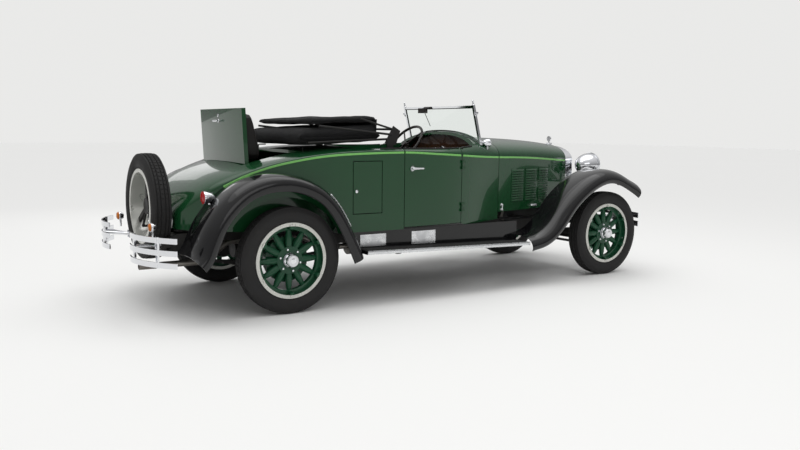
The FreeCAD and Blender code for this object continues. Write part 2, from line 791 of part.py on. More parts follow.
drop_arm = 110
drag_link_height = size.tyre_radius + eye_half + 1 + 14 + 11.5
drop_arm_station = front_axle - 820
drop_arm_height = drag_link_height + drop_arm
arm_inner = drag_link_y - 13
pitman = fuse("pitman_body", [
    box("pitman_arm_bar", (drop_arm_station - 13, drop_arm_station + 13),
        (arm_inner - 9, arm_inner), (drag_link_height, drop_arm_height)),
    rod("pitman_hub", "y", (drop_arm_station, arm_inner - 13, drop_arm_height), 22, 20),
    rod("pitman_foot", "y", (drop_arm_station, arm_inner - 9, drag_link_height), 16, 11),
])
seat_at_rear_axle(pitman, "pitman_arm")
link = fuse("drag_link_body", [
    rod("drag_link_bar", "x", (drop_arm_station, drag_link_y, drag_link_height), 10,
        front_axle - drop_arm_station),
    ball("drag_link_rear", (drop_arm_station, drag_link_y + 3, drag_link_height), 13),
    rod("drag_link_front", "z", (front_axle, drag_link_y, drag_link_height - 11), 14, 24),
])
seat_at_rear_axle(link, "drag_link")

column_slope = 39
wheel_centre = (1700, 300, 1232)


def along_column(distance):
    """A point on the column, measured down from the steering wheel."""
    turn = math.radians(column_slope)
    x, y, z = wheel_centre
    return Vector(x + distance * math.cos(turn), y, z - distance * math.sin(turn))


def steering_column():
    """Jacket tube, worm box and the cross shaft of the drop arm."""
    box_centre = Vector(float(drop_arm_station), wheel_centre[1], float(drop_arm_height))
    tube = tube_between(along_column(34), along_column(985), 19)
    box_end = along_column(985)
    worm = tube_between(box_end, along_column(1075), 40)
    case = Part.makeCylinder(52, 93, box_centre + Vector(0, -55, 0), Vector(0, 1, 0))
    shaft = Part.makeCylinder(14, float(arm_inner) - 13.5 - wheel_centre[1],
                              box_centre, Vector(0, 1, 0))
    rail_inner = float(size.rail_offset - size.rail_width / 2)
    foot = Part.makeBox(96, 62, 40, Vector(box_centre.x - 48, rail_inner - 20,
                                           float(size.rail_top) + 0.3))
    return join([tube, worm, case, shaft, foot])


feature(steering_column(), "steering_column")


def steering_wheel():
    """A wooden rim on four flat spokes and a hub."""
    turn = math.radians(column_slope)
    axis = Vector(-math.cos(turn), 0, math.sin(turn))
    centre = along_column(0)
    radius = float(size.steering_wheel_radius)
    grip = float(size.steering_wheel_grip)
    rim = Part.makeTorus(radius, grip, centre, axis)
    hub = tube_between(along_column(33), along_column(-16), 30, 24)
    level = Vector(0, 1, 0)
    upright = axis.cross(level)
    pieces = [rim, hub]
    for step in range(4):
        angle = math.pi / 4 + step * math.pi / 2
        outward = level * math.cos(angle) + upright * math.sin(angle)
        pieces.append(tube_between(centre + outward * 12 - axis * 14,
                                   centre + outward * (radius - 2), 9, 7))
    return join(pieces)


feature(steering_wheel(), "steering_wheel")


# Rear axle: tubes, banjo housing, torque tube, brake plates and spindles

def rear_axle_housing():
    """Live axle casing with the torque tube that runs forward to the gearbox."""
    centre = float(size.tyre_radius)
    plate_y = float(brake_plate_y)
    tube = Part.makeCylinder(float(size.axle_tube_radius), 2 * plate_y,
                             Vector(0, -plate_y, centre), Vector(0, 1, 0))
    banjo = Part.makeSphere(150, Vector(0, 0, centre))
    trim = Part.makeBox(400, 190, 400, Vector(-200, -95, centre - 200))
    cover = Part.makeCylinder(70, 24, Vector(-158, 0, centre), Vector(1, 0, 0))
    nose = tube_between(Vector(90, 0, centre), Vector(330, 0, centre + 4), 92, 45)
    torque = tube_between(Vector(320, 0, centre + 4), Vector(2020, 0, centre + 46), 40)
    pieces = [tube, banjo.common(trim), cover, nose, torque]
    reach = float(size.track) / 2 + float(size.spoke_root_radius)
    plate = float(size.drum_radius) - float(size.drum_wall) - 4
    for sign in (-1, 1):
        pieces.append(Part.makeCylinder(plate, 4, Vector(0, sign * (plate_y - 2) - 2, centre),
                                        Vector(0, 1, 0)))
        pieces.append(Part.makeCylinder(float(size.spindle_radius), reach - plate_y + 2,
                                        Vector(0, sign * (plate_y - 2), centre),
                                        Vector(0, sign, 0)))
        pad = float(size.rail_offset) * sign
        pieces.append(Part.makeBox(110, 56, 50, Vector(-55, pad - 28, float(tube_bottom))))
    return join(pieces)


feature(rear_axle_housing(), "rear_axle")


# Body form: sections along the car, each with upright sides and a rounded crown
# Station, half width, height of the belt line, height of the crown, underside.

crown_power = 2.2


def body_sections():
    """The sections from tail to radiator."""
    wide = float(size.body_half_width)
    sill = float(size.sill_height)
    tail = sill + 62
    seam = float(size.seam_station)
    nose = float(size.radiator_station) - float(size.panel_gap)
    return [
        (-738, wide - 400, 712, 770, tail + 8), (-716, wide - 318, 748, 822, tail + 4),
        (-660, wide - 245, 812, 898, tail), (-580, wide - 185, 878, 972, tail - 4),
        (-449, wide - 130, 955, 1046, tail - 8), (-270, wide - 92, 1042, 1104, tail - 16),
        (0, wide - 46, 1124, 1166, sill + 30), (400, wide - 13, 1182, 1222, sill),
        (1000, wide, 1200, 1243, sill), (1350, wide - 8, 1185, 1262, sill),
        (1640, wide - 40, 1168, 1302, sill), (1900, wide - 105, 1153, 1356, sill),
        (seam, wide - 178, 1143, 1308, sill + 8), (2460, wide - 238, 1136, 1298, sill + 40),
        (2700, wide - 290, 1126, 1287, sill + 50), (nose, wide - 408, 1092, 1238, sill + 52),
    ]


def section_wire(station, wide, belt, crown, inset):
    """One section down to a flat base, moved in by the wall thickness."""
    wide = wide - inset
    crown = crown - inset
    belt = belt - inset
    base = 400 if inset <= 0 else 350
    steps = 8
    arch = []
    for number in range(steps + 1):
        angle = math.pi * number / steps
        across_share = abs(math.cos(angle)) ** (2 / crown_power)
        rise_share = abs(math.sin(angle)) ** (2 / crown_power)
        y = math.copysign(wide * across_share, -math.cos(angle))
        arch.append(Vector(station, y, belt + (crown - belt) * rise_share))
    curve = Part.BSplineCurve()
    shares = [number / steps for number in range(steps + 1)]
    curve.interpolate(Points=arch, Parameters=shares)
    left = Part.makeLine(Vector(station, -wide, base), arch[0])
    right = Part.makeLine(arch[-1], Vector(station, wide, base))
    floor = Part.makeLine(Vector(station, wide, base), Vector(station, -wide, base))
    return Part.Wire([left, curve.toShape(), right, floor])


def body_form(inset, start=-900):
    """The solid inside the body surface, moved in by a wall, on a flat base."""
    wires = []
    rows = [row for row in body_sections() if row[0] >= start]
    for row in rows:
        station, wide, belt, crown = row[:4]
        if station < -700:
            station = station + inset * 0.9
        elif row is rows[0]:
            station = station - inset
        elif row is rows[-1]:
            station = station + inset
        wires.append(section_wire(station, wide, belt, crown, inset))
    return Part.makeLoft(wires, True, False)


def body_value(station, column):
    """Half width, belt, crown or underside of the body at a station."""
    rows = body_sections()
    for before, after in zip(rows, rows[1:]):
        if before[0] <= station <= after[0]:
            share = (station - before[0]) / (after[0] - before[0])
            return before[column] + share * (after[column] - before[column])
    return rows[-1][column]


def half_width(station):
    return body_value(station, 1)


def belt(station):
    return body_value(station, 2)


def slab(x_from, x_to, y_from=-900, y_to=900, z_from=0, z_to=1700):
    """A large box used to part the panels."""
    return Part.makeBox(x_to - x_from, y_to - y_from, z_to - z_from,
                        Vector(x_from, y_from, z_from))


def underside():
    """Everything below the lower edge of the body."""
    edge = [(row[0], row[4]) for row in body_sections()]
    edge = [(-900, edge[0][1])] + edge[1:-1] + [(3400, edge[-1][1]), (3400, 100), (-900, 100)]
    return side_plate(edge, -950, 950)


def body_shell(wall, start=-900):
    """The hollow body with one wall thickness, open underneath."""
    return body_form(0, start).cut(body_form(wall, start)).cut(underside())


skin_form = body_form(float(size.body_skin))
skin_shell = body_shell(float(size.body_skin))
gap_half = float(size.panel_gap) / 2
rim_inset = 46


def cockpit_opening():
    """Everything above the seats: a plan outline, with a sloping front at the cowl."""
    rear = 640
    stations = [rear, float(size.door_rear), 1350, float(size.door_front), 1780, 1920]
    side = [Vector(x, half_width(x) - rim_inset, 0) for x in stations]
    outline = side + [Vector(p.x, -p.y, 0) for p in reversed(side)]
    plan = Part.Face(Part.makePolygon(outline + outline[:1])).extrude(Vector(0, 0, 1700))
    crown = float(size.cowl_rear)
    slope = side_plate([(rear - 50, 900), (crown - 105, 900), (crown - 105, 1150), (crown, 1356),
                        (crown + 22, 1400), (crown + 22, 1700), (rear - 50, 1700)], -900, 900)
    return plan.common(slope)


opening = cockpit_opening()


# Rear body: quarter panels, deck and tail, with the rumble opening and wheelhouses

arch_radius = size.tyre_radius + 62
arch_inner = size.track / 2 - size.tyre_width / 2 - 42


def rumble_opening():
    """The hole that the rumble lid closes."""
    lid_rear = float(size.lid_hinge_station)
    return slab(lid_rear - lid_bulge - 20, float(lid_front) + float(size.panel_gap),
                -float(size.lid_half_width) - float(size.panel_gap),
                float(size.lid_half_width) + float(size.panel_gap), 900)


lid_length = 430
lid_bulge = 16
lid_front = size.lid_hinge_station + lid_length


def rear_body():
    """The shell behind the doors."""
    rear_edge = float(size.door_rear) - gap_half
    shell = skin_shell.common(slab(-900, rear_edge)).cut(opening).cut(rumble_opening())
    gap = float(size.panel_gap)
    locker = slab(float(size.locker_rear) - gap, float(size.locker_front) + gap, -900, 0,
                  float(size.locker_bottom) - gap, float(size.locker_top) + gap)
    shell = shell.cut(locker)
    arch = Part.makeCylinder(float(arch_radius), 1800, Vector(0, -900, float(size.tyre_radius)),
                             Vector(0, 1, 0))
    between = slab(-600, 600, -float(arch_inner), float(arch_inner))
    shell = shell.cut(arch.cut(between))
    house = Part.makeCylinder(float(arch_radius) + 4, 1800,
                              Vector(0, -900, float(size.tyre_radius)), Vector(0, 1, 0))
    house = house.cut(arch).fuse(arch.common(slab(-600, 600, float(arch_inner) - 4,
                                                  float(arch_inner))))
    house = house.fuse(arch.common(slab(-600, 600, -float(arch_inner), -float(arch_inner) + 4)))
    house = house.cut(slab(-600, 600, -float(arch_inner) + 4, float(arch_inner) - 4))
    house = house.common(body_form(2)).cut(underside()).common(slab(-900, rear_edge))
    bulkhead = skin_form.common(slab(470, 488)).cut(slab(400, 560, -900, 900, 0, 660))
    return join([shell, house, bulkhead])


feature(rear_body(), "rear_body")


# Cowl: from the door pillars to the bonnet seam, with the firewall

def cowl():
    """The scuttle shell, hollow towards the cockpit."""
    front_edge = float(size.door_front) + gap_half
    seam = float(size.seam_station) - gap_half
    shell = skin_shell.common(slab(front_edge, seam)).cut(opening)
    firewall = skin_form.common(slab(seam - 34, seam - 26))
    foot = slab(seam - 40, seam - 20, -900, 900, 0, float(size.rail_top) + 20)
    tunnel = slab(seam - 60, seam, -130, 130, 0, 665)
    column_hole = Part.makeCylinder(40, 60, Vector(seam - 60, wheel_centre[1], 882),
                                    Vector(1, 0, 0))
    return join([shell, firewall.cut(foot).cut(tunnel).cut(column_hole)])


# Doors: outer skin and trimmed inside, with a lever handle

def door():
    """The left door, closed."""
    low = slab(float(size.door_rear) + gap_half, float(size.door_front) - gap_half, 0, 900,
               float(size.door_bottom))
    panel = body_shell(float(size.door_wall)).common(low).cut(opening)
    station = float(size.door_rear) + 78
    spindle = half_width(station)
    rose = Part.makeCylinder(20, 12, Vector(station, spindle - 3, 1058), Vector(0, 1, 0))
    stem = Part.makeCylinder(8, 36, Vector(station, spindle - 3, 1058), Vector(0, 1, 0))
    lever = tube_between(Vector(station - 16, spindle + 30, 1058),
                         Vector(station + 88, spindle + 30, 1058), 9, 6)
    return join([panel, rose, stem, lever] + door_knuckles(1))


door_hinge_station = size.door_front
hinge_levels = (720, 1080)
hinge_pin = 6


def hinge_line():
    """Width of the door hinge line, just outside the panels."""
    return half_width(float(door_hinge_station)) + 11.5


def door_knuckles(on_door):
    """Hinge barrels: the middle one on the door, the outer two on the pillar."""
    station = float(door_hinge_station)
    shapes = []
    for level in hinge_levels:
        spans = [(level - 15, level + 15)] if on_door else [(level - 38, level - 16),
                                                            (level + 16, level + 38)]
        for low, high in spans:
            barrel = Part.makeCylinder(9, high - low, Vector(station, hinge_line(), low))
            reach = -34 if on_door else 34
            strap = Part.makeBox(abs(reach), 5, high - low,
                                 Vector(min(station, station + reach), hinge_line() - 11, low))
            shape = barrel.fuse(strap)
            if not on_door:
                pad = Part.makeBox(29, 14, high - low, Vector(station + 5, hinge_line() - 20, low))
                shape = shape.fuse(pad)
            if on_door:
                shape = shape.cut(Part.makeCylinder(hinge_pin + 0.4, 60,
                                                    Vector(station, hinge_line(), low - 10)))
            shapes.append(shape)
        if not on_door:
            shapes.append(Part.makeCylinder(hinge_pin, 76,
                                            Vector(station, hinge_line(), level - 38)))
    return shapes


left_door = door()
feature(left_door, "door_left")
feature(across(left_door), "door_right")
pillar_barrels = door_knuckles(0)
feature(join([cowl()] + pillar_barrels + [across(barrel) for barrel in pillar_barrels]), "cowl")


# Locker door in the right quarter, with a knob and a concealed piano hinge

def locker_door():
    """A flush door that swings about its front edge."""
    panel = skin_shell.common(
        slab(float(size.locker_rear), float(size.locker_front), -900, 0,
             float(size.locker_bottom), float(size.locker_top)))
    station = float(size.locker_rear) + 22
    knob = Part.makeCylinder(9, 16, Vector(station, -half_width(station) + 3, 890),
                             Vector(0, -1, 0))
    return join([panel, knob])


feature(locker_door(), "locker_door")


# Rumble lid, open, forming the back of the rumble seat

lid_hinge_height = belt(float(size.lid_hinge_station)) + 22


def rumble_lid():
    """A curved steel lid on a frame, standing open, with its handle."""
    thick = float(size.lid_thickness)
    wide = float(size.lid_half_width)
    bulge = lid_bulge
    left = Vector(0, -wide, 0)
    right = Vector(0, wide, 0)
    back = Part.Arc(left, Vector(-bulge, 0, 0), right).toShape()
    front = Part.Arc(Vector(thick, wide, 0), Vector(thick - bulge, 0, 0),
                     Vector(thick, -wide, 0)).toShape()
    ends = [Part.makeLine(right, Vector(thick, wide, 0)),
            Part.makeLine(Vector(thick, -wide, 0), left)]
    face = Part.Face(Part.Wire([back, ends[0], front, ends[1]]))
    panel = face.extrude(Vector(0, 0, lid_length))
    lock = Part.makeCylinder(9, 8, Vector(-bulge - 5, 0, lid_length - 52), Vector(1, 0, 0))
    stem = Part.makeCylinder(6, 30, Vector(-bulge - 26, 0, lid_length - 92), Vector(1, 0, 0))
    bar = Part.makeCylinder(6, 84, Vector(-bulge - 28, -42, lid_length - 92), Vector(0, 1, 0))
    lid = join([panel, lock, stem, bar])
    lean = 3
    lid.rotate(Vector(0, 0, 0), Vector(0, 1, 0), -lean)
    lid.translate(Vector(float(size.lid_hinge_station) - 8, 0, lid_hinge_height + 8))
    return lid


feature(rumble_lid(), "rumble_lid")


# Bonnet: two top halves on a centre hinge and two sides with louvre panels

bonnet_sheet = body_shell(float(size.bonnet_skin), float(size.seam_station))


def bonnet_split():
    """Everything above the shoulder hinge of the bonnet."""
    seam = float(size.seam_station)
    nose = float(size.radiator_station)
    return side_plate([(seam - 5, belt(seam) + 14), (nose, belt(nose - 10) + 14),
                       (nose, 1700), (seam - 5, 1700)], -900, 900)


def bonnet_shell():
    """The bonnet sheet between cowl and radiator, open underneath."""
    seam = float(size.seam_station)
    nose = float(size.radiator_station)
    length = slab(seam + gap_half, nose - float(size.panel_gap))
    return bonnet_sheet.common(length).cut(slab(seam - 60, nose + 60, -900, 900, 0, 640))


def bonnet_tops():
    """The two halves each side of the centre hinge."""
    top = bonnet_shell().common(bonnet_split())
    halves = []
    for low, high in ((-900, -1), (1, 900)):
        halves.append(top.common(slab(2000, 3400, low, high)))
    return halves


def louvre_panels():
    """The three raised panels that carry the louvres, on the left side."""
    low = 716
    tall = 308
    raised = 4
    depth = 14
    panels = []
    for start, end in ((2350, 2532), (2556, 2738), (2762, 2928)):
        outline = [Vector(start, half_width(start) + raised, low),
                   Vector(end, half_width(end) + raised, low),
                   Vector(end, half_width(end) - depth, low),
                   Vector(start, half_width(start) - depth, low)]
        face = Part.Face(Part.makePolygon(outline + outline[:1]))
        panels.append(face.extrude(Vector(0, 0, tall)))
    return panels


def bonnet_side():
    """The left side with its louvres and handle."""
    side = bonnet_shell().cut(bonnet_split()).common(slab(2000, 3400, 0, 900))
    grip = Part.makeBox(70, 14, 12, Vector(2640, half_width(2675) + 12, 668))
    posts = [Part.makeBox(10, 22, 12, Vector(x, half_width(x) - 4, 668)) for x in (2642, 2698)]
    return join([side, grip] + posts + louvre_panels())


tops = [join([half]) for half in bonnet_tops()]
left_side = bonnet_side()
feature(Part.makeCompound(tops + [left_side, across(left_side)]), "bonnet")


# Thin curved sheets: a surface through rows of points, thickened to one side

def skin(rows, thickness):
    """A closed solid of even thickness on a surface through rows of points."""
    surface = Part.BSplineSurface()
    surface.interpolate(rows)
    solid = surface.toShape().makeOffsetShape(thickness, 0.01, fill=True)
    if solid.Volume < 0:
        solid.reverse()
    return solid


def spline_through(points, count):
    """Evenly spaced points and side-view normals along a smooth curve."""
    curve = Part.BSplineCurve()
    curve.interpolate([Vector(x, 0, z) for x, z in points])
    length = curve.length()
    rows = []
    for number in range(count):
        at = curve.parameterAtDistance(length * number / (count - 1) if number else 0.0,
                                       curve.FirstParameter)
        spot = curve.value(at)
        along = curve.tangent(at)[0]
        rows.append((spot, Vector(along.z, 0, -along.x)))
    return rows


# Fenders: a crowned sheet with a turned down outer band, swept over each wheel

def fender(lip_line, inner_width, count):
    """One left fender from the line of its outer lip in the side view."""
    outer_y = float(size.fender_half_width)
    skirt = float(size.fender_skirt)
    sheet = float(size.fender_skin)
    section = [(-3, 0), (0, skirt * 0.45), (-5, skirt * 0.9), (-32, skirt * 1.2),
               (-85, skirt * 1.42), (-150, skirt * 1.5)]
    rings = []
    for spot, normal in spline_through(lip_line, count):
        edge = inner_width(spot.x)
        full = [(dy, up) for dy, up in section if outer_y + dy > edge + 45]
        full.append((edge - outer_y, skirt * 1.42))
        curve = Part.BSplineCurve()
        curve.interpolate([Vector(0, dy, up) for dy, up in full])
        span = curve.LastParameter - curve.FirstParameter
        steps = 7
        ring = []
        for number in range(steps):
            mark = curve.value(curve.FirstParameter + span * number / (steps - 1))
            ring.append(spot - normal * mark.z + Vector(0, outer_y + mark.y, 0))
        rings.append(ring)
    return skin(rings, -sheet)


def front_lip():
    """Outer lip of the front fender, from the running board over the wheel to its tip."""
    hub = float(front_axle)
    level = float(size.tyre_radius)
    return [(hub - 1050, level - 85), (hub - 925, level - 62), (hub - 790, level - 8),
            (hub - 650, level + 112), (hub - 545, level + 235), (hub - 410, level + 352),
            (hub - 220, level + 458), (hub - 70, level + 490), (hub + 80, level + 455),
            (hub + 200, level + 400), (hub + 312, level + 338)]


def rear_lip():
    """Outer lip of the rear fender, from its tail over the wheel to the running board."""
    level = float(size.tyre_radius)
    return [(-690, level - 10), (-632, level + 60), (-560, level + 228), (-468, level + 368),
            (-345, level + 470), (-150, level + 522), (35, level + 500), (212, level + 408),
            (340, level + 240), (432, level + 60), (480, level - 50)]


def front_inner_width(station):
    """Inner edge of the front fender from the middle of the car."""
    return float(size.body_half_width) - 165


def rear_inner_width(station):
    """Inner edge of the rear fender, which meets the body side."""
    if station > -330:
        return half_width(max(station, -330)) + 5
    return max(half_width(-330) + 5 - (-330 - station) * 0.42, 470)


def mirrored(solid):
    """The solid and its mirror image, as two solids of one piece."""
    return Part.makeCompound(solid.Solids + across(solid).Solids)


def largest(shape):
    """The main solid, without the slivers that a cut leaves."""
    return max(shape.Solids, key=lambda piece: piece.Volume)


outer_form = body_form(-0.4)
front_fender = fender(front_lip(), front_inner_width, 13)
rear_fender = largest(fender(rear_lip(), rear_inner_width, 13).cut(outer_form))
feature(mirrored(front_fender), "front_fenders")
feature(mirrored(rear_fender), "rear_fenders")


# Running boards and the aprons between them and the body

def board_line(station, drop):
    """Height of the running board, which falls gently towards the front."""
    share = (station - 505) / (2290 - 505)
    return 438 - 44 * share - drop


def running_boards():
    """A board with a rounded outer edge and two brackets from the frame."""
    rear = float(size.board_rear)
    front = float(size.board_front)
    thick = float(size.board_thickness)
    inner = float(size.board_inner)
    outer = float(size.fender_half_width) - 12
    outline = [(rear, board_line(rear, 0)), (front, board_line(front, 0)),
               (front, board_line(front, thick)), (rear, board_line(rear, thick))]
    board = side_plate(outline, inner, outer)
    brackets = []
    rail = float(size.rail_offset + size.rail_width / 2)
    for station in (rear + 330, front - 420):
        level = board_line(station, thick)
        brackets.append(Part.makeBox(42, outer - rail - 60, 16,
                                     Vector(station - 21, rail + 0.3, level - 16.0)))
        brackets.append(Part.makeBox(42, 10, float(size.rail_top) - 40 - level + 16,
                                     Vector(station - 21, rail + 0.3, level - 16)))
    return join([board] + brackets)


feature(mirrored(running_boards()), "running_boards")


def splash_aprons():
    """Upright sheet from the running board to the sill, and the ledge by the engine."""
    rear = float(size.board_rear)
    front = float(size.board_front) + 265
    inner = float(size.board_inner)
    sill = float(size.sill_height)
    join_x = float(size.board_front)
    upright = side_plate([(rear - 30, board_line(rear, 0) + 1), (rear - 30, sill - 0.5),
                          (join_x, sill - 0.5), (join_x, board_line(join_x, 0) + 1)],
                         inner - 24, inner - 20)
    ledge_out = inner - 20
    clear = 460
    side = front_inner_width(join_x) - 3
    start = float(size.seam_station) + 8
    points = [Vector(start, half_width(start) + 3, sill - 4),
              Vector(start, ledge_out, sill - 4), Vector(join_x, ledge_out, sill - 4),
              Vector(join_x, side, sill - 4), Vector(front + 220, side, sill - 4),
              Vector(front + 220, clear, sill - 4), Vector(front - 60, clear, sill - 4)]
    ledge = Part.Face(Part.makePolygon(points + points[:1])).extrude(Vector(0, 0, 4))
    flange = side_plate([(rear - 30, board_line(rear, 0) + 1), (join_x, board_line(join_x, 0) + 1),
                         (join_x, board_line(join_x, 0) + 4), (rear - 30, board_line(rear, 0) + 4)],
                        inner - 24, inner + 10)
    return join([upright, ledge, flange])


feature(mirrored(splash_aprons()), "splash_aprons")


# Floor, firewall ramp, dashboard and seats

def floor():
    """Floor boards over the frame, with side sills under the doors and a toe board."""
    top = float(size.rail_top)
    sill = float(size.sill_height)
    rear = float(size.door_rear) + gap_half
    front = float(size.door_front) - gap_half
    base = top + 1
    boards = [Part.makeBox(1060, 1270, 16, Vector(650, -635, base + 7))]
    edge = half_width(rear)
    for sign in (-1, 1):
        y = edge - 90 if sign > 0 else -edge + 8
        boards.append(Part.makeBox(front - rear - 6, 82, float(size.door_bottom) - sill - 7,
                                   Vector(rear + 3, y, sill + 1)))
    for start, length in ((-290, 756), (492, 150)):
        boards.append(Part.makeBox(length, 2 * float(arch_inner) - 24, 14,
                                   Vector(start, -float(arch_inner) + 12, top + 62)))
    toe = side_plate([(1705, base + 7), (1705, base + 23), (2080, base + 330),
                      (2092, base + 318), (1722, base + 7)], -500, 500)
    slot = Part.makeBox(700, 90, 700, Vector(1600, wheel_centre[1] - 45, 500))
    return join(boards + [toe.cut(slot)])


feature(floor(), "floor")


def dashboard():
    """A wooden panel under the cowl with a row of round dials."""
    station = float(size.cowl_rear) + 34
    inside = body_form(float(size.body_skin) + 2)
    panel = inside.common(slab(station, station + 16, -900, 900, belt(1900) - 70))
    for y, radius in ((0, 46), (-110, 32), (110, 32), (-190, 26), (190, 26)):
        panel = panel.fuse(Part.makeCylinder(radius, 9, Vector(station - 8, y, belt(1900) + 20),
                                             Vector(1, 0, 0)))
    return panel.removeSplitter()


feature(dashboard(), "dashboard")


def rounded_box(xs, ys, zs, radius):
    """A box with all its edges rounded."""
    block = Part.makeBox(xs[1] - xs[0], ys[1] - ys[0], zs[1] - zs[0],
                         Vector(xs[0], ys[0], zs[0]))
    return block.makeFillet(radius, block.Edges)


seat_half = 560
rear_of_seat = float(size.door_rear) - 250
feature(rounded_box((rear_of_seat + 268, 1560), (-seat_half, seat_half), (742, 902), 34),
        "front_seat_cushion")
riser = join([Part.makeBox(720, 2 * seat_half - 40, 12, Vector(rear_of_seat + 90,
                                                               -seat_half + 20, 728)),
              Part.makeBox(18, 2 * seat_half - 40, 150, Vector(1490, -seat_half + 20, 584.5)),
              Part.makeBox(18, 2 * seat_half - 40, 150, Vector(rear_of_seat + 100,
                                                               -seat_half + 20, 584.5))])
back = rounded_box((0, 150), (-seat_half - 20, seat_half + 20), (0, 440), 40)
back.rotate(Vector(0, 0, 0), Vector(0, 1, 0), -14)
back.translate(Vector(rear_of_seat + 118, 0, 760))
feature(back, "front_seat_back")
feature(rounded_box((-150, 300), (-500, 500), (718, 848), 32), "rumble_seat_cushion")
rumble_box = join([Part.makeBox(430, 960, 12, Vector(-140, -480, 705)),
                   Part.makeBox(16, 960, 72, Vector(240, -480, 640)),
                   Part.makeBox(16, 960, 72, Vector(-130, -480, 640))])
feature(Part.makeCompound([riser, rumble_box]), "seat_frames")


def rumble_back():
    """The back cushion on the inside of the open lid, thicker at its foot."""
    wide = float(size.lid_half_width) - 26
    outline = [(0, 30), (150, 30), (150, 90), (112, 330), (84, 388), (48, 398), (0, 398)]
    cushion = side_plate(outline, -wide, wide)
    cushion = cushion.makeFillet(18, cushion.Edges)
    cushion.rotate(Vector(0, 0, 0), Vector(0, 1, 0), -3)
    start = Vector(float(size.lid_hinge_station) - 8 + float(size.lid_thickness) + 1.5, 0,
                   lid_hinge_height + 8)
    cushion.translate(start)
    return cushion


feature(rumble_back(), "rumble_seat_back")


# Windscreen: posts, rails, plate glass, wiper and finials

def screen_lean():
    """The slope of the windscreen along the car for each millimetre of height."""
    rise = float(size.screen_top_height - size.screen_base_height)
    return float(size.screen_top_station - size.screen_base_station) / rise


def on_screen(height, y):
    """A point of the screen plane."""
    share = height - float(size.screen_base_height)
    return Vector(float(size.screen_base_station) + screen_lean() * share, y, height)


def screen_prism(y_from, y_to, low, high, thick):
    """A slab of the screen plane."""
    base = on_screen(low, y_from)
    top = on_screen(high, y_from)
    points = [base + Vector(-thick / 2, 0, 0), base + Vector(thick / 2, 0, 0),
              top + Vector(thick / 2, 0, 0), top + Vector(-thick / 2, 0, 0)]
    return Part.Face(Part.makePolygon(points + points[:1])).extrude(Vector(0, y_to - y_from, 0))


post = float(size.post_size)
screen_half = float(size.screen_half_width)
screen_low = float(size.screen_base_height)
screen_high = float(size.screen_top_height)


def windscreen_frame():
    """Bright posts with finials, top rail, and a lower rail that follows the cowl."""
    pieces = [screen_prism(-screen_half, screen_half, screen_high - 18, screen_high, 16)]
    for sign in (-1, 1):
        y = sign * screen_half
        pieces.append(screen_prism(y - post / 2, y + post / 2, screen_low - 40, screen_high + 4,
                                   post))
        tip = on_screen(screen_high + 4, y)
        pieces.append(tube_between(tip - Vector(0, 0, 6), tip + Vector(0, 0, 34), 9, 2.5))
        knob = on_screen(screen_high - 62, y)
        pieces.append(Part.makeCylinder(7, 34, knob, Vector(0, sign, 0)))
        pieces.append(Part.makeBox(30, 6, 12, knob + Vector(-15, sign * 30 - 3, -6)))
    low_rail = screen_prism(-screen_half, screen_half, screen_low, screen_high - 60, 14)
    band = body_form(-16)
    pieces.append(low_rail.common(band))
    foot = [rounded_foot(sign) for sign in (-1, 1)]
    return largest(join(pieces + foot).cut(outer_form))


def rounded_foot(sign):
    """A cast foot under one post."""
    base = on_screen(screen_low + 8, sign * (screen_half - 2))
    return Part.makeCylinder(24, 60, base - Vector(0, 0, 34))


feature(windscreen_frame(), "windscreen_frame")
glass = screen_prism(-screen_half + post / 2 + 0.3, screen_half - post / 2 - 0.3, screen_low - 30,
                     screen_high - 18.3, float(size.glass_thickness))
feature(largest(glass.cut(body_form(-16.3))), "windscreen_glass")
wiper_at = on_screen(screen_high - 30, 190)
feature(join([Part.makeBox(44, 96, 46, wiper_at + Vector(-60, -48, -30)),
              tube_between(wiper_at + Vector(-22, -6, -20), on_screen(1405, 150) +
                           Vector(-14, 0, 0), 3),
              Part.makeBox(14, 24, 12, wiper_at + Vector(-22, -12, -0.4))]), "wiper_motor")


# Radiator: polished shell, core and filler cap

def arched_outline(station, half, low, shoulder, crown):
    """Upright sides under a half ellipse, as one wire across the car."""
    a = Vector(station, -half, low)
    b = Vector(station, -half, shoulder)
    c = Vector(station, half, shoulder)
    d = Vector(station, half, low)
    oval = Part.Ellipse(c, Vector(station, 0, crown), Vector(station, 0, shoulder))
    arch = Part.Edge(Part.ArcOfEllipse(oval, 0, math.pi))
    return Part.Wire(Part.sortEdges([Part.makeLine(a, b), arch, Part.makeLine(c, d),
                                     Part.makeLine(d, a)])[0])


def arched_block(station, length, half, low, shoulder, crown):
    """The outline above given length along the car."""
    return Part.Face(arched_outline(station, half, low, shoulder, crown)).extrude(
        Vector(length, 0, 0))


radiator_low = float(size.rail_top) + 0.3
radiator_shoulder = 1085
shell_start = float(size.radiator_station)
shell_depth = float(size.radiator_depth)
shell_half = float(size.radiator_half_width)
shell_crown = float(size.radiator_top)
lip = float(size.radiator_wall)


def radiator_shell():
    """A hollow shell with a front opening and a round filler cap."""
    block = arched_block(shell_start, shell_depth, shell_half, radiator_low,
                         radiator_shoulder, shell_crown)
    inside = arched_block(shell_start - 1, shell_depth - 11, shell_half - 8, radiator_low - 1,
                          radiator_shoulder, shell_crown - 8)
    window = arched_block(shell_start, shell_depth + 20, shell_half - lip, radiator_low + 42,
                          radiator_shoulder - 18, shell_crown - 66)
    cap_at = Vector(shell_start + shell_depth * 0.56, 0, shell_crown - 4)
    neck = Part.makeCylinder(26, 22, cap_at)
    cap = Part.makeCone(33, 28, 14, cap_at + Vector(0, 0, 20))
    stem = Part.makeCylinder(7, 30, cap_at + Vector(0, 0, 30))
    disc = Part.makeCylinder(27, 12, cap_at + Vector(-6, 0, 74), Vector(1, 0, 0))
    return join([block.cut(inside).cut(window), neck, cap, stem, disc])


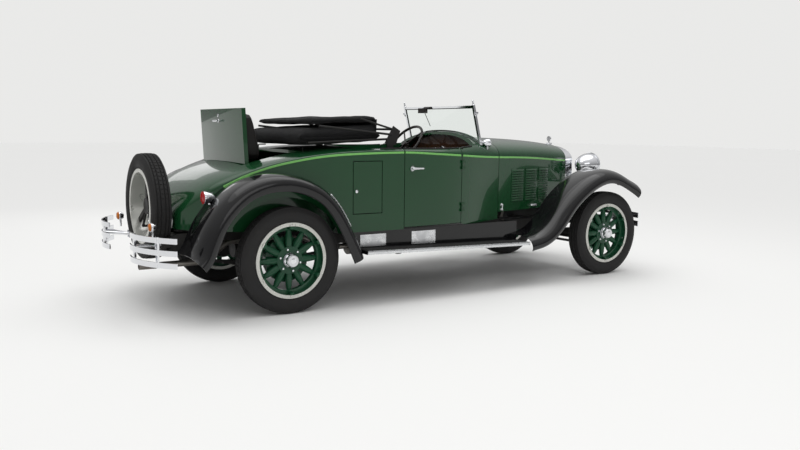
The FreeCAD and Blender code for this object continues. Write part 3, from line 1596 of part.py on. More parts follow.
feature(radiator_shell(), "radiator_shell")
feature(arched_block(shell_start + 22, shell_depth - 34, shell_half - 9, radiator_low,
                     radiator_shoulder - 6, shell_crown - 20), "radiator_core")

# Engine and gearbox, exhaust, fuel tank

engine = fuse("engine_body", [
    box("cylinder_block", (2460, 3120), (-150, 150), (500, 960)),
    box("oil_pan", (2460, 3100), (-120, 120), (430, 510)),
    rod("clutch_housing", "x", (2240, 0, 560), 170, 225),
    box("gearbox", (2026, 2250), (-110, 110), (405, 640)),
    box("engine_mounts", (2620, 2700), (-338, 338), (536, 553)),
    rod("fan_hub", "x", (3118, 0, 820), 40, 62),
])
seat_at_rear_axle(engine, "engine")


def pipe(points, radius, bend):
    """A round pipe of straight runs joined by tangent arcs."""
    edges = []
    start = points[0]
    for before, corner, after in zip(points, points[1:], points[2:]):
        inward = (before - corner).normalize()
        outward = (after - corner).normalize()
        turn = math.pi - inward.getAngle(outward)
        cut = bend * math.tan(turn / 2)
        first = corner + inward * cut
        last = corner + outward * cut
        middle = (inward + outward).normalize()
        through = corner + middle * (bend / math.cos(turn / 2) - bend)
        edges.append(Part.makeLine(start, first))
        edges.append(Part.Arc(first, through, last).toShape())
        start = last
    edges.append(Part.makeLine(start, points[-1]))
    path = Part.Wire(edges)
    section = Part.Wire(Part.makeCircle(radius, points[0], points[1] - points[0]))
    return path.makePipeShell([section], True, True)


def exhaust():
    """Manifold outlet, down pipe, silencer and tail pipe."""
    rear_end = -float(size.rear_overhang) + 90
    radius = float(size.tailpipe_radius)
    front = pipe([Vector(2520, -150.3, 800), Vector(2520, -240, 800), Vector(2440, -255, 560),
                  Vector(2300, -255, 452), Vector(1500, -255, 400)], radius, 50)
    silencer = Part.makeCylinder(72, 760, Vector(760, -255, 392), Vector(1, 0, 0))
    link_pipe = tube_between(Vector(1510, -255, 392), Vector(1500, -255, 400), radius)
    tail = pipe([Vector(770, -255, 392), Vector(560, -255, 392), Vector(330, -250, 500),
                 Vector(-290, -250, 500), Vector(-480, -246, 358), Vector(rear_end, -240, 357)],
                radius, 80)
    bore = Part.makeCylinder(radius - 3, 120, Vector(rear_end - 1, -240, 357), Vector(1, 0, 0))
    return join([front, silencer, link_pipe, tail]).cut(bore)


feature(exhaust(), "exhaust")
tank = rounded_box((-745, -455), (-325, 150), (424, 545), 30)
feature(tank, "fuel_tank")

# Lamps: bullet headlamps on a cross bar, cowl lamps and tail lamps


def bullet_lamp(centre, radius, length, heading):
    """A bullet shell with a rim ring and a domed glass; it faces along the car."""
    body = Part.makeSphere(radius * 0.96, Vector(0, 0, 0))
    stretch = FreeCAD.Matrix()
    stretch.A11 = length / radius
    body = body.transformGeometry(stretch).common(slab(-900, 0, -400, 400, -400, 400))
    rim = Part.makeCylinder(radius, radius * 0.16, Vector(-2, 0, 0), Vector(1, 0, 0))
    dome = Part.makeSphere(radius * 1.9, Vector(-radius * 1.42, 0, 0))
    dome = dome.common(Part.makeCylinder(radius * 0.93, radius, Vector(0, 0, 0), Vector(1, 0, 0)))
    lamp = join([body, rim, dome])
    if heading < 0:
        lamp.rotate(Vector(0, 0, 0), Vector(0, 0, 1), 180)
    lamp.translate(centre)
    return lamp


def headlamps():
    """Two headlamps on a bar between the fenders."""
    station = float(front_axle) + 105
    level = float(size.headlamp_height)
    offset = float(size.headlamp_offset)
    radius = float(size.headlamp_radius)
    pieces = []
    for sign in (-1, 1):
        pieces.append(bullet_lamp(Vector(station, sign * offset, level), radius,
                                  radius * 1.45, 1))
        pieces.append(Part.makeCylinder(13, level - 860,
                                        Vector(station - 40, sign * offset, 860)))
        pieces.append(tube_between(Vector(station - 40, sign * offset, 868),
                                   Vector(station - 40, sign * 553, 868), 13))
        stay = Part.makeCylinder(11, 160, Vector(station - 40, sign * 553, 868))
        fender_solid = front_fender if sign > 0 else across(front_fender)
        pieces.append(stay.cut(fender_solid).Solids[0])
    pieces.append(Part.makeCylinder(13, 2 * offset, Vector(station - 40, -offset, 868),
                                    Vector(0, 1, 0)))
    return join(pieces)


def small_lamps():
    """Cowl lamps on short stems."""
    station = float(size.screen_base_station) + 62
    y = half_width(station) - 24
    lamp = bullet_lamp(Vector(station, y, 1262), 37, 62, 1)
    stem = Part.makeCylinder(8, 90, Vector(station - 8, y, 1172))
    return largest(join([lamp, stem]).cut(outer_form))


def spare_carrier():
    """Three-armed bracket inside the spare rim, on two stays from the frame."""
    station = float(size.spare_station)
    level = float(size.spare_height)
    reach = float(size.rim_inner_radius) - 0.5
    arms = []
    for step in range(3):
        arm = Part.makeBox(22, 34, reach, Vector(-11, -17, 0))
        arm.rotate(Vector(0, 0, 0), Vector(1, 0, 0), 120 * step)
        arm.translate(Vector(station, 0, level))
        arms.append(arm)
    round_rim = Part.makeCylinder(reach, 60, Vector(station - 30, 0, level), Vector(1, 0, 0))
    arms = [arm.common(round_rim) for arm in arms]
    plate = Part.makeCylinder(62, 30, Vector(station - 15, 0, level), Vector(1, 0, 0))
    member_top = float(size.rail_top + size.rail_kick * 0.79 - size.rail_plate) + 0.3
    stays = []
    for sign in (-1, 1):
        knee = Vector(station + 4, sign * 150, member_top + 10)
        stays.append(tube_between(Vector(-690, sign * 150, member_top + 10), knee, 9.5))
        stays.append(Part.makeSphere(11, knee))
        stays.append(tube_between(knee, Vector(station + 3, sign * 30, level + 2), 9.5))
    whole = plate.multiFuse(arms + stays)
    return whole


feature(spare_carrier(), "spare_carrier")


def tail_lamps():
    """Bullet tail lamps on brackets from the rear fenders."""
    lamp = bullet_lamp(Vector(-612, 640, 880), 48, 84, -1)
    stem = tube_between(Vector(-575, 640, 846), Vector(-560, 640, 780), 9)
    return largest(join([lamp, stem]).cut(rear_fender))


lamp_set = [headlamps()] + mirrored(small_lamps()).Solids + mirrored(tail_lamps()).Solids
feature(Part.makeCompound(lamp_set), "lamps")


# Bumpers: bowed spring bars with clamps, on irons from the frame

def bowed_bar(centre_x, bow, half_from, half_to, level, heading):
    """A flat spring bar that curves across the car."""
    thick = float(size.bumper_bar_thickness)
    tall = float(size.bumper_bar_height)

    def at(y, extra):
        return Vector(centre_x - heading * bow * (y / half_to) ** 2 + heading * extra, y,
                      level - tall / 2)
    middle = (half_from + half_to) / 2
    front = Part.Arc(at(half_from, thick), at(middle, thick), at(half_to, thick)).toShape()
    back = Part.Arc(at(half_to, 0), at(middle, 0), at(half_from, 0)).toShape()
    ends = [Part.makeLine(at(half_to, thick), at(half_to, 0)),
            Part.makeLine(at(half_from, 0), at(half_from, thick))]
    return Part.Face(Part.Wire([front, ends[0], back, ends[1]])).extrude(Vector(0, 0, tall))


def front_bumper():
    """Two bars joined by clamps, carried by irons from the frame horns."""
    nose = float(size.overall_length - size.rear_overhang)
    thick = float(size.bumper_bar_thickness)
    upper, lower = 552, 470
    bars = [bowed_bar(nose - thick, 130, -800, 800, level, 1) for level in (upper, lower)]
    clamps = []
    for y in (-560, -0.0, 560):
        x = nose - thick - 130 * (y / 800) ** 2
        clamps.append(Part.makeBox(12, 46, upper - lower + 70, Vector(x - 10, y - 23, lower - 35)))
    irons = []
    for sign in (-1, 1):
        y = sign * float(size.rail_offset)
        x = nose - thick - 130 * (y / 800) ** 2
        irons.append(Part.makeBox(x - float(front_axle) - 425.3 + 6, 12, 46,
                                  Vector(float(front_axle) + 425.3, y - 6, 478)))
        irons.append(Part.makeBox(12, 46, upper - lower + 70, Vector(x - 10, y - 23, lower - 35)))
    return join(bars + clamps + irons)


feature(front_bumper(), "front_bumper")


def rear_bumpers():
    """Two short three-bar bumpers, one each side of the spare."""
    tail = -float(size.rear_overhang)
    thick = float(size.bumper_bar_thickness)
    pieces = []
    levels = (610, 525, 440)

    def bar(level):
        def at(y, extra):
            share = (y - 575) / 280
            return Vector(tail + 16 + 160 * ((y - 300) / 550) ** 2 - 34 * (1 - share * share)
                          + extra, y, level - 19)
        line = [at(y, 0) for y in (300, 437, 575, 712, 850)]
        outer = Part.BSplineCurve()
        outer.interpolate(line)
        inner = Part.BSplineCurve()
        inner.interpolate([spot + Vector(thick, 0, 0) for spot in reversed(line)])
        wire = Part.Wire([outer.toShape(), Part.makeLine(line[-1], line[-1] + Vector(thick, 0, 0)),
                          inner.toShape(), Part.makeLine(line[0] + Vector(thick, 0, 0), line[0])])
        return Part.Face(wire).extrude(Vector(0, 0, 38)), line
    lines = []
    for level in levels:
        shape, line = bar(level)
        pieces.append(shape)
        lines.append(line)
    for number in (1, 3):
        spot = lines[0][number]
        pieces.append(Part.makeBox(14, 40, levels[0] - levels[2] + 44,
                                   Vector(spot.x + 4, spot.y - 20, levels[2] - 22)))
    spot = lines[0][1]
    iron = tube_between(Vector(spot.x + 12, spot.y, 540), Vector(-868, 372, 525), 12)
    pieces.append(iron)
    pieces.append(Part.makeBox(30, 50, 56, Vector(-880.3, 347, 497)))
    pieces.append(tube_between(Vector(lines[0][3].x + 12, lines[0][3].y, 525),
                               Vector(-866, 380, 525), 12))
    return join(pieces)


feature(mirrored(rear_bumpers()), "rear_bumpers")


# Folded top: two rolls of cloth over the folded bows, and the irons

def roll(rear, front, low, high, half, lean):
    """A thick fold of cloth, swept back at its ends."""
    deep = (high - low) / 2
    outline = [(rear, low + deep), (rear + deep * 0.6, low + deep * 0.15), (front - 60, low),
               (front, low + deep * 0.8), (front - 30, high - 12), (rear + deep * 1.2, high)]
    block = side_plate([(x, z + lean * (x - rear)) for x, z in outline], -half, half)
    return block.makeFillet(deep * 0.32, block.Edges)


feature(Part.makeCompound([roll(185, 905, 1238, 1386, 555, 0.055),
                           roll(300, 880, 1404, 1462, 520, 0.07)]), "folded_top")


def top_irons():
    """Folded side irons, the pivot plates on the body and the rear rests."""
    y = 612
    plate = side_plate([(905, 1262), (1010, 1245), (1052, 1360), (985, 1400)], y - 4, y + 4)
    arms = [tube_between(Vector(970, y, 1330), Vector(330, y - 32, 1392), 9),
            tube_between(Vector(990, y - 12, 1296), Vector(240, y - 44, 1262), 9),
            tube_between(Vector(985, y, 1372), Vector(700, y - 30, 1452), 8)]
    foot = Part.makeBox(60, 12, 60, Vector(925, y - 6, 1212.6))
    bow = tube_between(Vector(985, -y, 1372), Vector(985, y, 1372), 9)
    return [plate, foot] + arms, bow


iron_side, iron_bow = top_irons()
iron_all = iron_side + [across(piece) for piece in iron_side] + [iron_bow]
irons = [largest(join(iron_all).cut(outer_form))]
for sign in (-1, 1):
    rest = pipe([Vector(262, sign * 430, 1150), Vector(262, sign * 430, 1231),
                 Vector(330, sign * 430, 1231.7)], 5, 12)
    irons.append(largest(rest.cut(outer_form)))
feature(Part.makeCompound(irons), "top_irons")


# Steps and scuff plates

def step_plates():
    """Polished scuff plates on the running boards and a step pad on the right fender."""
    inner = float(size.board_inner) - 20 + 0.3
    plates = []
    for start in (1130, 640):
        plate = side_plate([(start, board_line(start, 0) + 12),
                            (start + 240, board_line(start + 240, 0) + 12),
                            (start + 240, 540), (start, 540)], inner, inner + 4)
        for row in range(3):
            rib = Part.makeBox(240, 3, 8, Vector(start, inner + 3, 462 + row * 26))
            plate = plate.fuse(rib)
        plates.append(plate.removeSplitter())
    return plates


scuffs = []
for plate in step_plates():
    scuffs.extend(mirrored(plate).Solids)
feature(Part.makeCompound(scuffs), "scuff_plates")

# Check and write the sub-parts
doc.recompute()
for thing in doc.Objects:
    if "Invalid" in thing.State or "Error" in thing.State:
        raise RuntimeError(f"{thing.Name} failed: {thing.State}")
for thing in subparts:
    if thing.Shape.isNull() or not thing.Shape.isValid():
        raise RuntimeError(f"{thing.Label} has no valid shape")
os.makedirs("parts", exist_ok=True)
for thing in subparts:
    thing.Shape.exportStep(f"parts/{thing.Label}.step")
    print(thing.Label, len(thing.Shape.Solids), round(thing.Shape.Volume / 1e6, 3), "litres")
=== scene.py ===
# %% [markdown]
# # A green roadster in a white studio
# The CAD model gives every rigid part of the car its place and its joints. This lesson adds what
# a photograph shows and a solid does not: paint, rubber, leather, cloth, bright trim, louvres,
# tread and lamp glass. Everything is in metres: X runs forward, Y to the left, Z up.

import math

import bmesh
import bpy
from mathutils import Matrix, Vector, noise
from mathutils.bvhtree import BVHTree


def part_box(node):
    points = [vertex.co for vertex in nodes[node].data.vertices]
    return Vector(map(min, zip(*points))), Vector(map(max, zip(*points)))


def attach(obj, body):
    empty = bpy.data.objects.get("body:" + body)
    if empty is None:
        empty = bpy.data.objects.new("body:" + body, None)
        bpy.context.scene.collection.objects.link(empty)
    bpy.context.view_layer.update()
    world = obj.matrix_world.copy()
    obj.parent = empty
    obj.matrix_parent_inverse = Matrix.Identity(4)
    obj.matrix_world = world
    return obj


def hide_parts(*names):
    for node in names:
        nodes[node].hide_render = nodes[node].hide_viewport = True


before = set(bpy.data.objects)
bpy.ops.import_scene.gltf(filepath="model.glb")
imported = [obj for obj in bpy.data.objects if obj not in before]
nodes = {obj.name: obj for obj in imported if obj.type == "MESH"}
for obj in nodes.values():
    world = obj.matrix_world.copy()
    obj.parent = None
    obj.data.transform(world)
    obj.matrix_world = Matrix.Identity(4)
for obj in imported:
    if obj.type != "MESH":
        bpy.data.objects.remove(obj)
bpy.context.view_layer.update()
scene = bpy.context.scene
REAR_AXLE = -1.415
FRONT_AXLE = 1.925
SIDES = (("left", 1), ("right", -1))


def spot(station, y, z):
    """A point given by its distance ahead of the rear axle."""
    return Vector((station + REAR_AXLE, y, z))


def placed(name, data):
    """A new object in the scene."""
    thing = bpy.data.objects.new(name, data)
    scene.collection.objects.link(thing)
    return thing


def add(tree, kind, inputs=None, **settings):
    """Add a node to a tree, with settings of its own and values on its inputs."""
    made = tree.nodes.new(kind)
    for title, value in settings.items():
        setattr(made, title, value)
    for title, value in (inputs or {}).items():
        made.inputs[title].default_value = value
    return made


def join(tree, *links):
    """Link nodes; a link is a node, its output, the next node and its input."""
    for start, output, end, entry in links:
        tree.links.new(start.outputs[output], end.inputs[entry])


# %% [markdown]
# ## The camera
# The camera stands where the photographer stood: at eye height, behind and to the right of the
# car. A camera looks along its own minus Z, so its matrix is built from three directions.

# %% Place the camera
YAW, PITCH, ROLL = math.radians(33.247), math.radians(-6.846), math.radians(0.635)
look = Vector((math.sin(YAW) * math.cos(PITCH), math.cos(YAW) * math.cos(PITCH), math.sin(PITCH)))
level_right = Vector((math.cos(YAW), -math.sin(YAW), 0))
level_up = level_right.cross(look)
camera_right = level_right * math.cos(ROLL) + level_up * math.sin(ROLL)
camera_up = level_up * math.cos(ROLL) - level_right * math.sin(ROLL)
camera_data = bpy.data.cameras.new("studio_camera")
camera_data.lens = 36.10
camera_data.sensor_width = 36
camera = placed("studio_camera", camera_data)
turn = Matrix((camera_right, camera_up, -look)).transposed().to_4x4()
turn.translation = spot(-2.54386, -6.11102, 1.37826)
camera.matrix_world = turn
scene.camera = camera
scene.view_settings.view_transform = "Standard"
print("camera at", camera.location[:])

# %% [markdown]
# ## The studio
# A white room lights a glossy car from every side. The world is a soft gradient. The camera, also
# through glass, sees an even white backdrop in its place. Three large lamps draw long highlights
# on the panels, and a wide, faint sun gives the floor its soft shadow.

# %% Light the room
world = bpy.data.worlds.new("white_room")
scene.world = world
world.use_nodes = True
sky = world.node_tree
sky.nodes.clear()
sky_out = add(sky, "ShaderNodeOutputWorld")
direction = add(sky, "ShaderNodeTexCoord")
height = add(sky, "ShaderNodeSeparateXYZ")
ramp = add(sky, "ShaderNodeValToRGB")
for element, (position, grey) in zip(ramp.color_ramp.elements, ((0.0, 0.30), (0.75, 1.0))):
    element.position = position
    element.color = (grey, grey, grey, 1)
seen = add(sky, "ShaderNodeBackground", {"Color": (0.82, 0.82, 0.81, 1)})
mirrored_room = add(sky, "ShaderNodeBackground", {"Strength": 0.75})
lighting = add(sky, "ShaderNodeBackground", {"Strength": 0.83})
rays = add(sky, "ShaderNodeLightPath")
either = add(sky, "ShaderNodeMath", operation="MAXIMUM")
glossy_mix = add(sky, "ShaderNodeMixShader")
camera_mix = add(sky, "ShaderNodeMixShader")
join(sky, (direction, "Generated", height, 0), (height, "Z", ramp, "Fac"),
     (ramp, "Color", mirrored_room, "Color"), (ramp, "Color", lighting, "Color"),
     (rays, "Is Glossy Ray", glossy_mix, "Fac"), (rays, "Is Camera Ray", either, 0),
     (rays, "Is Transmission Ray", either, 1), (lighting, 0, glossy_mix, 1),
     (mirrored_room, 0, glossy_mix, 2), (either, 0, camera_mix, "Fac"),
     (glossy_mix, 0, camera_mix, 1), (seen, 0, camera_mix, 2),
     (camera_mix, 0, sky_out, "Surface"))


def area_lamp(name, place, target, size, power):
    """A rectangular soft lamp that points at a target."""
    data = bpy.data.lights.new(name, "AREA")
    data.shape = "RECTANGLE"
    data.size, data.size_y = size
    data.energy = power
    lamp = placed(name, data)
    lamp.location = place
    lamp.rotation_euler = (Vector(target) - Vector(place)).to_track_quat("-Z", "Y").to_euler()


area_lamp("ceiling_lamp", (0, -0.5, 5.2), (0, 0, 0), (7.5, 3.0), 60)
area_lamp("side_lamp", (-1.5, -7.5, 3.6), (0, 0, 0.6), (6.0, 2.2), 40)
area_lamp("far_lamp", (1.0, 6.5, 3.4), (0, 0, 0.6), (6.0, 2.0), 30)
room_light = bpy.data.lights.new("room_light", "SUN")
room_light.energy = 0.75
room_light.angle = math.radians(70)
placed("room_light", room_light).location = (0, 0, 8)

# %% [markdown]
# ## Shader groups
# Real finishes are never one flat colour. Two small node groups serve all materials: one lets a
# colour and its roughness drift slowly over a surface, the other gives fine relief for a Bump
# node. Each material sets its own numbers on the group's inputs.


# %% Build the shared groups
def new_group(name, inputs, outputs):
    """An empty shader group with named sockets."""
    tree = bpy.data.node_groups.new(name, "ShaderNodeTree")
    for title, kind, value in inputs:
        socket = tree.interface.new_socket(title, in_out="INPUT", socket_type=kind)
        socket.default_value = value
    for title, kind in outputs:
        tree.interface.new_socket(title, in_out="OUTPUT", socket_type=kind)
    return tree, tree.nodes.new("NodeGroupInput"), tree.nodes.new("NodeGroupOutput")


FLOAT, COLOUR = "NodeSocketFloat", "NodeSocketColor"
drift, drift_in, drift_out = new_group(
    "slow_drift",
    [("Colour", COLOUR, (1, 1, 1, 1)), ("Second colour", COLOUR, (1, 1, 1, 1)),
     ("Scale", FLOAT, 3), ("Smooth", FLOAT, 0.2), ("Rough", FLOAT, 0.3)],
    [("Colour", COLOUR), ("Roughness", FLOAT)])
place = add(drift, "ShaderNodeTexCoord")
clouds = add(drift, "ShaderNodeTexNoise", {"Detail": 5})
blend_colour = add(drift, "ShaderNodeMix", data_type="RGBA")
blend_rough = add(drift, "ShaderNodeMapRange", {"From Min": 0.35, "From Max": 0.65})
mixed = [socket.type for socket in blend_colour.outputs].index("RGBA")
join(drift, (place, "Object", clouds, "Vector"), (drift_in, "Scale", clouds, "Scale"),
     (clouds, "Fac", blend_colour, "Factor"), (drift_in, "Colour", blend_colour, "A"),
     (drift_in, "Second colour", blend_colour, "B"), (clouds, "Fac", blend_rough, "Value"),
     (drift_in, "Smooth", blend_rough, "To Min"), (drift_in, "Rough", blend_rough, "To Max"),
     (blend_rough, "Result", drift_out, "Roughness"), (blend_colour, mixed, drift_out, "Colour"))

relief, relief_in, relief_out = new_group(
    "fine_relief", [("Scale", FLOAT, 200), ("Cells", FLOAT, 0)], [("Height", FLOAT)])
place = add(relief, "ShaderNodeTexCoord")
grain = add(relief, "ShaderNodeTexNoise", {"Detail": 3})
cells = add(relief, "ShaderNodeTexVoronoi")
choose = add(relief, "ShaderNodeMix")
join(relief, (place, "Object", grain, "Vector"), (place, "Object", cells, "Vector"),
     (relief_in, "Scale", grain, "Scale"), (relief_in, "Scale", cells, "Scale"),
     (relief_in, "Cells", choose, "Factor"), (grain, "Fac", choose, "A"),
     (cells, "Distance", choose, "B"), (choose, "Result", relief_out, "Height"))
print("groups:", drift.name, relief.name)

# %% [markdown]
# ## Finishes
# One function makes a finish from its colours, gloss and relief. Gloss paint is a dark coat under
# a clear one, brightwork is a smooth metal, rubber and leather are rough with a fine grain.


# %% Mix the finishes
def plain_material(name, values):
    """A material with values on its shader's own sockets."""
    material = bpy.data.materials.new(name)
    material.use_nodes = True
    shader = material.node_tree.nodes["Principled BSDF"]
    for title, value in values.items():
        shader.inputs[title].default_value = value
    return material, material.node_tree, shader


def raise_bump(tree, shader, node, output, depth):
    """Let a node's height shape the surface normal."""
    bump = add(tree, "ShaderNodeBump", {"Distance": depth})
    join(tree, (node, output, bump, "Height"), (bump, "Normal", shader, "Normal"))


def finish(name, colour, second, smooth, rough, metal=0.0, coat=0.0, drift_scale=3.0, fine=None,
           sheen=0.0):
    """A material of the shared groups; fine is its relief's scale, depth and share of cells."""
    material, tree, shader = plain_material(name, {
        "Metallic": metal, "Coat Weight": coat, "Coat Roughness": 0.03, "Coat IOR": 1.33,
        "Specular IOR Level": 0.2, "Sheen Weight": sheen})
    slow = add(tree, "ShaderNodeGroup", {"Colour": (*colour, 1), "Second colour": (*second, 1),
                                         "Scale": drift_scale, "Smooth": smooth, "Rough": rough},
               node_tree=drift)
    join(tree, (slow, "Colour", shader, "Base Color"), (slow, "Roughness", shader, "Roughness"))
    if fine:
        scale, depth, cells_share = (*fine, 0.0)[:3]
        raised = add(tree, "ShaderNodeGroup", {"Scale": scale, "Cells": cells_share},
                     node_tree=relief)
        raise_bump(tree, shader, raised, "Height", depth)
    return material


GLOSS = (420, 0.00004)
body_paint = finish("body_green_gloss", (0.005, 0.046, 0.014), (0.007, 0.054, 0.017), 0.16, 0.22,
                    coat=1.0, fine=GLOSS)
stripe_paint = finish("stripe_light_green", (0.16, 0.46, 0.10), (0.19, 0.50, 0.13), 0.2, 0.28,
                      coat=0.8, fine=GLOSS)
black_paint = finish("fender_black_gloss", (0.004, 0.004, 0.0045), (0.006, 0.006, 0.007), 0.12,
                     0.2, coat=1.0, fine=GLOSS)
frame_paint = finish("chassis_black_satin", (0.012, 0.012, 0.013), (0.022, 0.021, 0.019), 0.4,
                     0.62, drift_scale=9, fine=(260, 0.0003))
chrome = finish("bright_chrome", (0.80, 0.81, 0.83), (0.72, 0.73, 0.76), 0.05, 0.12, metal=1.0,
                drift_scale=8, fine=(60, 0.00003))
silver_rim = finish("silver_rim", (0.66, 0.66, 0.62), (0.56, 0.56, 0.53), 0.26, 0.4, metal=0.55,
                    drift_scale=12, fine=(160, 0.0002))
aluminium = finish("polished_aluminium", (0.74, 0.75, 0.76), (0.62, 0.63, 0.65), 0.2, 0.36,
                   metal=1.0, drift_scale=15, fine=(300, 0.0001))
cast_iron = finish("engine_grey", (0.10, 0.105, 0.10), (0.065, 0.068, 0.07), 0.45, 0.7,
                   metal=0.4, drift_scale=8, fine=(150, 0.0006))
steel = finish("worn_steel", (0.30, 0.29, 0.27), (0.17, 0.15, 0.13), 0.35, 0.6, metal=0.9,
               drift_scale=10, fine=(200, 0.0003))
rubber = finish("tyre_rubber", (0.016, 0.016, 0.017), (0.032, 0.031, 0.030), 0.62, 0.85,
                drift_scale=7, fine=(500, 0.0003))
mat_rubber = finish("board_rubber", (0.012, 0.012, 0.012), (0.022, 0.022, 0.022), 0.5, 0.7,
                    drift_scale=6, fine=(400, 0.0003))
leather = finish("black_leather", (0.008, 0.007, 0.007), (0.014, 0.013, 0.012), 0.34, 0.55,
                 drift_scale=6, fine=(420, 0.0006, 0.7))
wood = finish("dark_walnut", (0.075, 0.028, 0.011), (0.028, 0.010, 0.005), 0.22, 0.34, coat=0.7,
              drift_scale=16, fine=(120, 0.0002))
carpet = finish("floor_carpet", (0.017, 0.017, 0.018), (0.030, 0.029, 0.028), 0.9, 1.0,
                drift_scale=20, fine=(700, 0.0015), sheen=0.3)
ebonite = finish("black_ebonite", (0.010, 0.008, 0.007), (0.018, 0.013, 0.010), 0.22, 0.34,
                 coat=0.4, fine=(200, 0.0001))
dial_face = finish("dial_face", (0.64, 0.60, 0.48), (0.58, 0.54, 0.42), 0.4, 0.5,
                   fine=(300, 0.0001))
core_mesh = finish("radiator_core", (0.020, 0.018, 0.016), (0.045, 0.038, 0.030), 0.4, 0.6,
                   metal=0.5, drift_scale=10, fine=(140, 0.004, 1.0))


def weave_cloth(name, colour, second, threads):
    """Two crossed waves give the warp and weft of a woven cloth."""
    material = finish(name, colour, second, 0.85, 1.0, drift_scale=5, sheen=0.06)
    tree = material.node_tree
    where = add(tree, "ShaderNodeTexCoord")
    both = add(tree, "ShaderNodeMath", operation="ADD")
    for number, axis in enumerate("XY"):
        wave = add(tree, "ShaderNodeTexWave", {"Scale": threads, "Distortion": 0.6},
                   bands_direction=axis)
        join(tree, (where, "Object", wave, "Vector"), (wave, "Fac", both, number))
    raise_bump(tree, tree.nodes["Principled BSDF"], both, 0, 0.0008)
    return material


top_cloth = weave_cloth("top_cloth", (0.005, 0.005, 0.0055), (0.009, 0.009, 0.010), 160)


def clear_glass(name, colour, rough=0.0):
    """Glass keeps a plain transmission; its colour tints what is behind it."""
    return plain_material(name, {"Base Color": (*colour, 1), "Roughness": rough,
                                 "Transmission Weight": 1.0, "IOR": 1.12})[0]


plate_glass = clear_glass("plate_glass", (0.93, 0.97, 0.95))
lamp_glass = clear_glass("lamp_glass", (0.95, 0.97, 0.96), 0.03)
DIMPLED = {"coat": 1.0, "fine": (90, 0.001, 1.0)}
red_glass = finish("red_glass", (0.42, 0.008, 0.008), (0.30, 0.004, 0.004), 0.06, 0.1, **DIMPLED)
amber_glass = finish("amber_glass", (0.62, 0.18, 0.01), (0.50, 0.13, 0.01), 0.06, 0.1, **DIMPLED)
print("finishes:", len(bpy.data.materials))

# %% [markdown]
# ## Paint the CAD parts
# Most CAD parts already have the right shape and only need a finish. A wheel is one solid with a
# bright rim round a green felloe, so its finish changes with the distance from the axle.


# %% Assign finishes to the CAD parts
def paint(names, material):
    """Give CAD nodes one finish."""
    for name in names.split():
        mesh = nodes[name].data
        mesh.materials.clear()
        mesh.materials.append(material)


def round_the_axle(name, centre, rings):
    """A finish that changes with the radius from an axle along Y."""
    material = finish(name, rings[0][1], rings[0][1], 0.24, 0.4, coat=0.5, drift_scale=14,
                      fine=(90, 0.0002))
    tree = material.node_tree
    shader = tree.nodes["Principled BSDF"]
    where = add(tree, "ShaderNodeTexCoord")
    offset = add(tree, "ShaderNodeVectorMath", {1: centre}, operation="SUBTRACT")
    flat = add(tree, "ShaderNodeVectorMath", {1: (1, 0, 1)}, operation="MULTIPLY")
    reach = add(tree, "ShaderNodeVectorMath", operation="LENGTH")
    join(tree, (where, "Object", offset, 0), (offset, 0, flat, 0), (flat, 0, reach, 0))
    for column, title in ((1, "Base Color"), (2, "Metallic")):
        steps = add(tree, "ShaderNodeValToRGB")
        steps.color_ramp.interpolation = "CONSTANT"
        elements = steps.color_ramp.elements
        elements[1].position = rings[1][0]
        for radius, *_ in rings[2:]:
            elements.new(radius)
        for element, ring in zip(elements, rings):
            element.color = (*ring[column], 1)
        join(tree, (reach, "Value", steps, "Fac"), (steps, "Color", shader, title))
    return material


for names, material in (
        ("rear_body door_left door_right cowl locker_door rumble_lid bonnet", body_paint),
        ("front_fenders rear_fenders splash_aprons running_boards", black_paint),
        ("chassis_frame leaf_springs front_axle knuckle_left knuckle_right tie_rod pitman_arm "
         "drag_link rear_axle fuel_tank seat_frames top_irons spare_carrier", frame_paint),
        ("radiator_shell windscreen_frame lamps front_bumper rear_bumpers", chrome),
        ("scuff_plates", aluminium), ("engine", cast_iron), ("exhaust", steel),
        ("floor", carpet), ("dashboard", wood), ("radiator_core", core_mesh),
        ("steering_wheel steering_column wiper_motor", ebonite),
        ("windscreen_glass", plate_glass), ("spare_rim", silver_rim)):
    paint(names, material)
GREEN, CREAM, BRIGHT = (0.009, 0.062, 0.028), (0.60, 0.60, 0.56), (0.75, 0.76, 0.78)
WHEEL_RINGS = [(0, BRIGHT, (1, 1, 1)), (0.0535, (0.010, 0.058, 0.028), (0, 0, 0)),
               (0.106, GREEN, (0, 0, 0)), (0.2555, CREAM, (0.45, 0.45, 0.45))]
WHEELS = {"front_left": (FRONT_AXLE, 0.72), "front_right": (FRONT_AXLE, -0.72),
          "rear_left": (REAR_AXLE, 0.72), "rear_right": (REAR_AXLE, -0.72)}
WHEEL_HEIGHT = 0.40
for corner, (x, y) in WHEELS.items():
    paint(f"wheel_{corner}", round_the_axle(f"wheel_{corner}_finish", (x, y, WHEEL_HEIGHT),
                                            WHEEL_RINGS))
print("painted CAD parts:", sum(1 for item in nodes.values() if item.data.materials))

# %% [markdown]
# ## Helpers for meshes
# Three ways of making a shape cover most trim: turning a profile round an axis, sweeping a round
# tube along points, and joining rings of points by faces. A finished object stands at the origin
# and has its place in its mesh, as the CAD parts have.


# %% Define the mesh helpers
def plain_mesh(name, mesh_data, material):
    """Turn a bmesh into a mesh of one finish."""
    mesh = bpy.data.meshes.new(name)
    mesh_data.to_mesh(mesh)
    mesh_data.free()
    mesh.materials.append(material)
    return mesh


def new_piece(name, mesh_data, material, body="car_body", smooth=35):
    """Link a bmesh as an object that rides on a body."""
    bmesh.ops.remove_doubles(mesh_data, verts=mesh_data.verts, dist=0.00002)
    bmesh.ops.recalc_face_normals(mesh_data, faces=mesh_data.faces)
    return dress(name, plain_mesh(name, mesh_data, material), body, smooth)


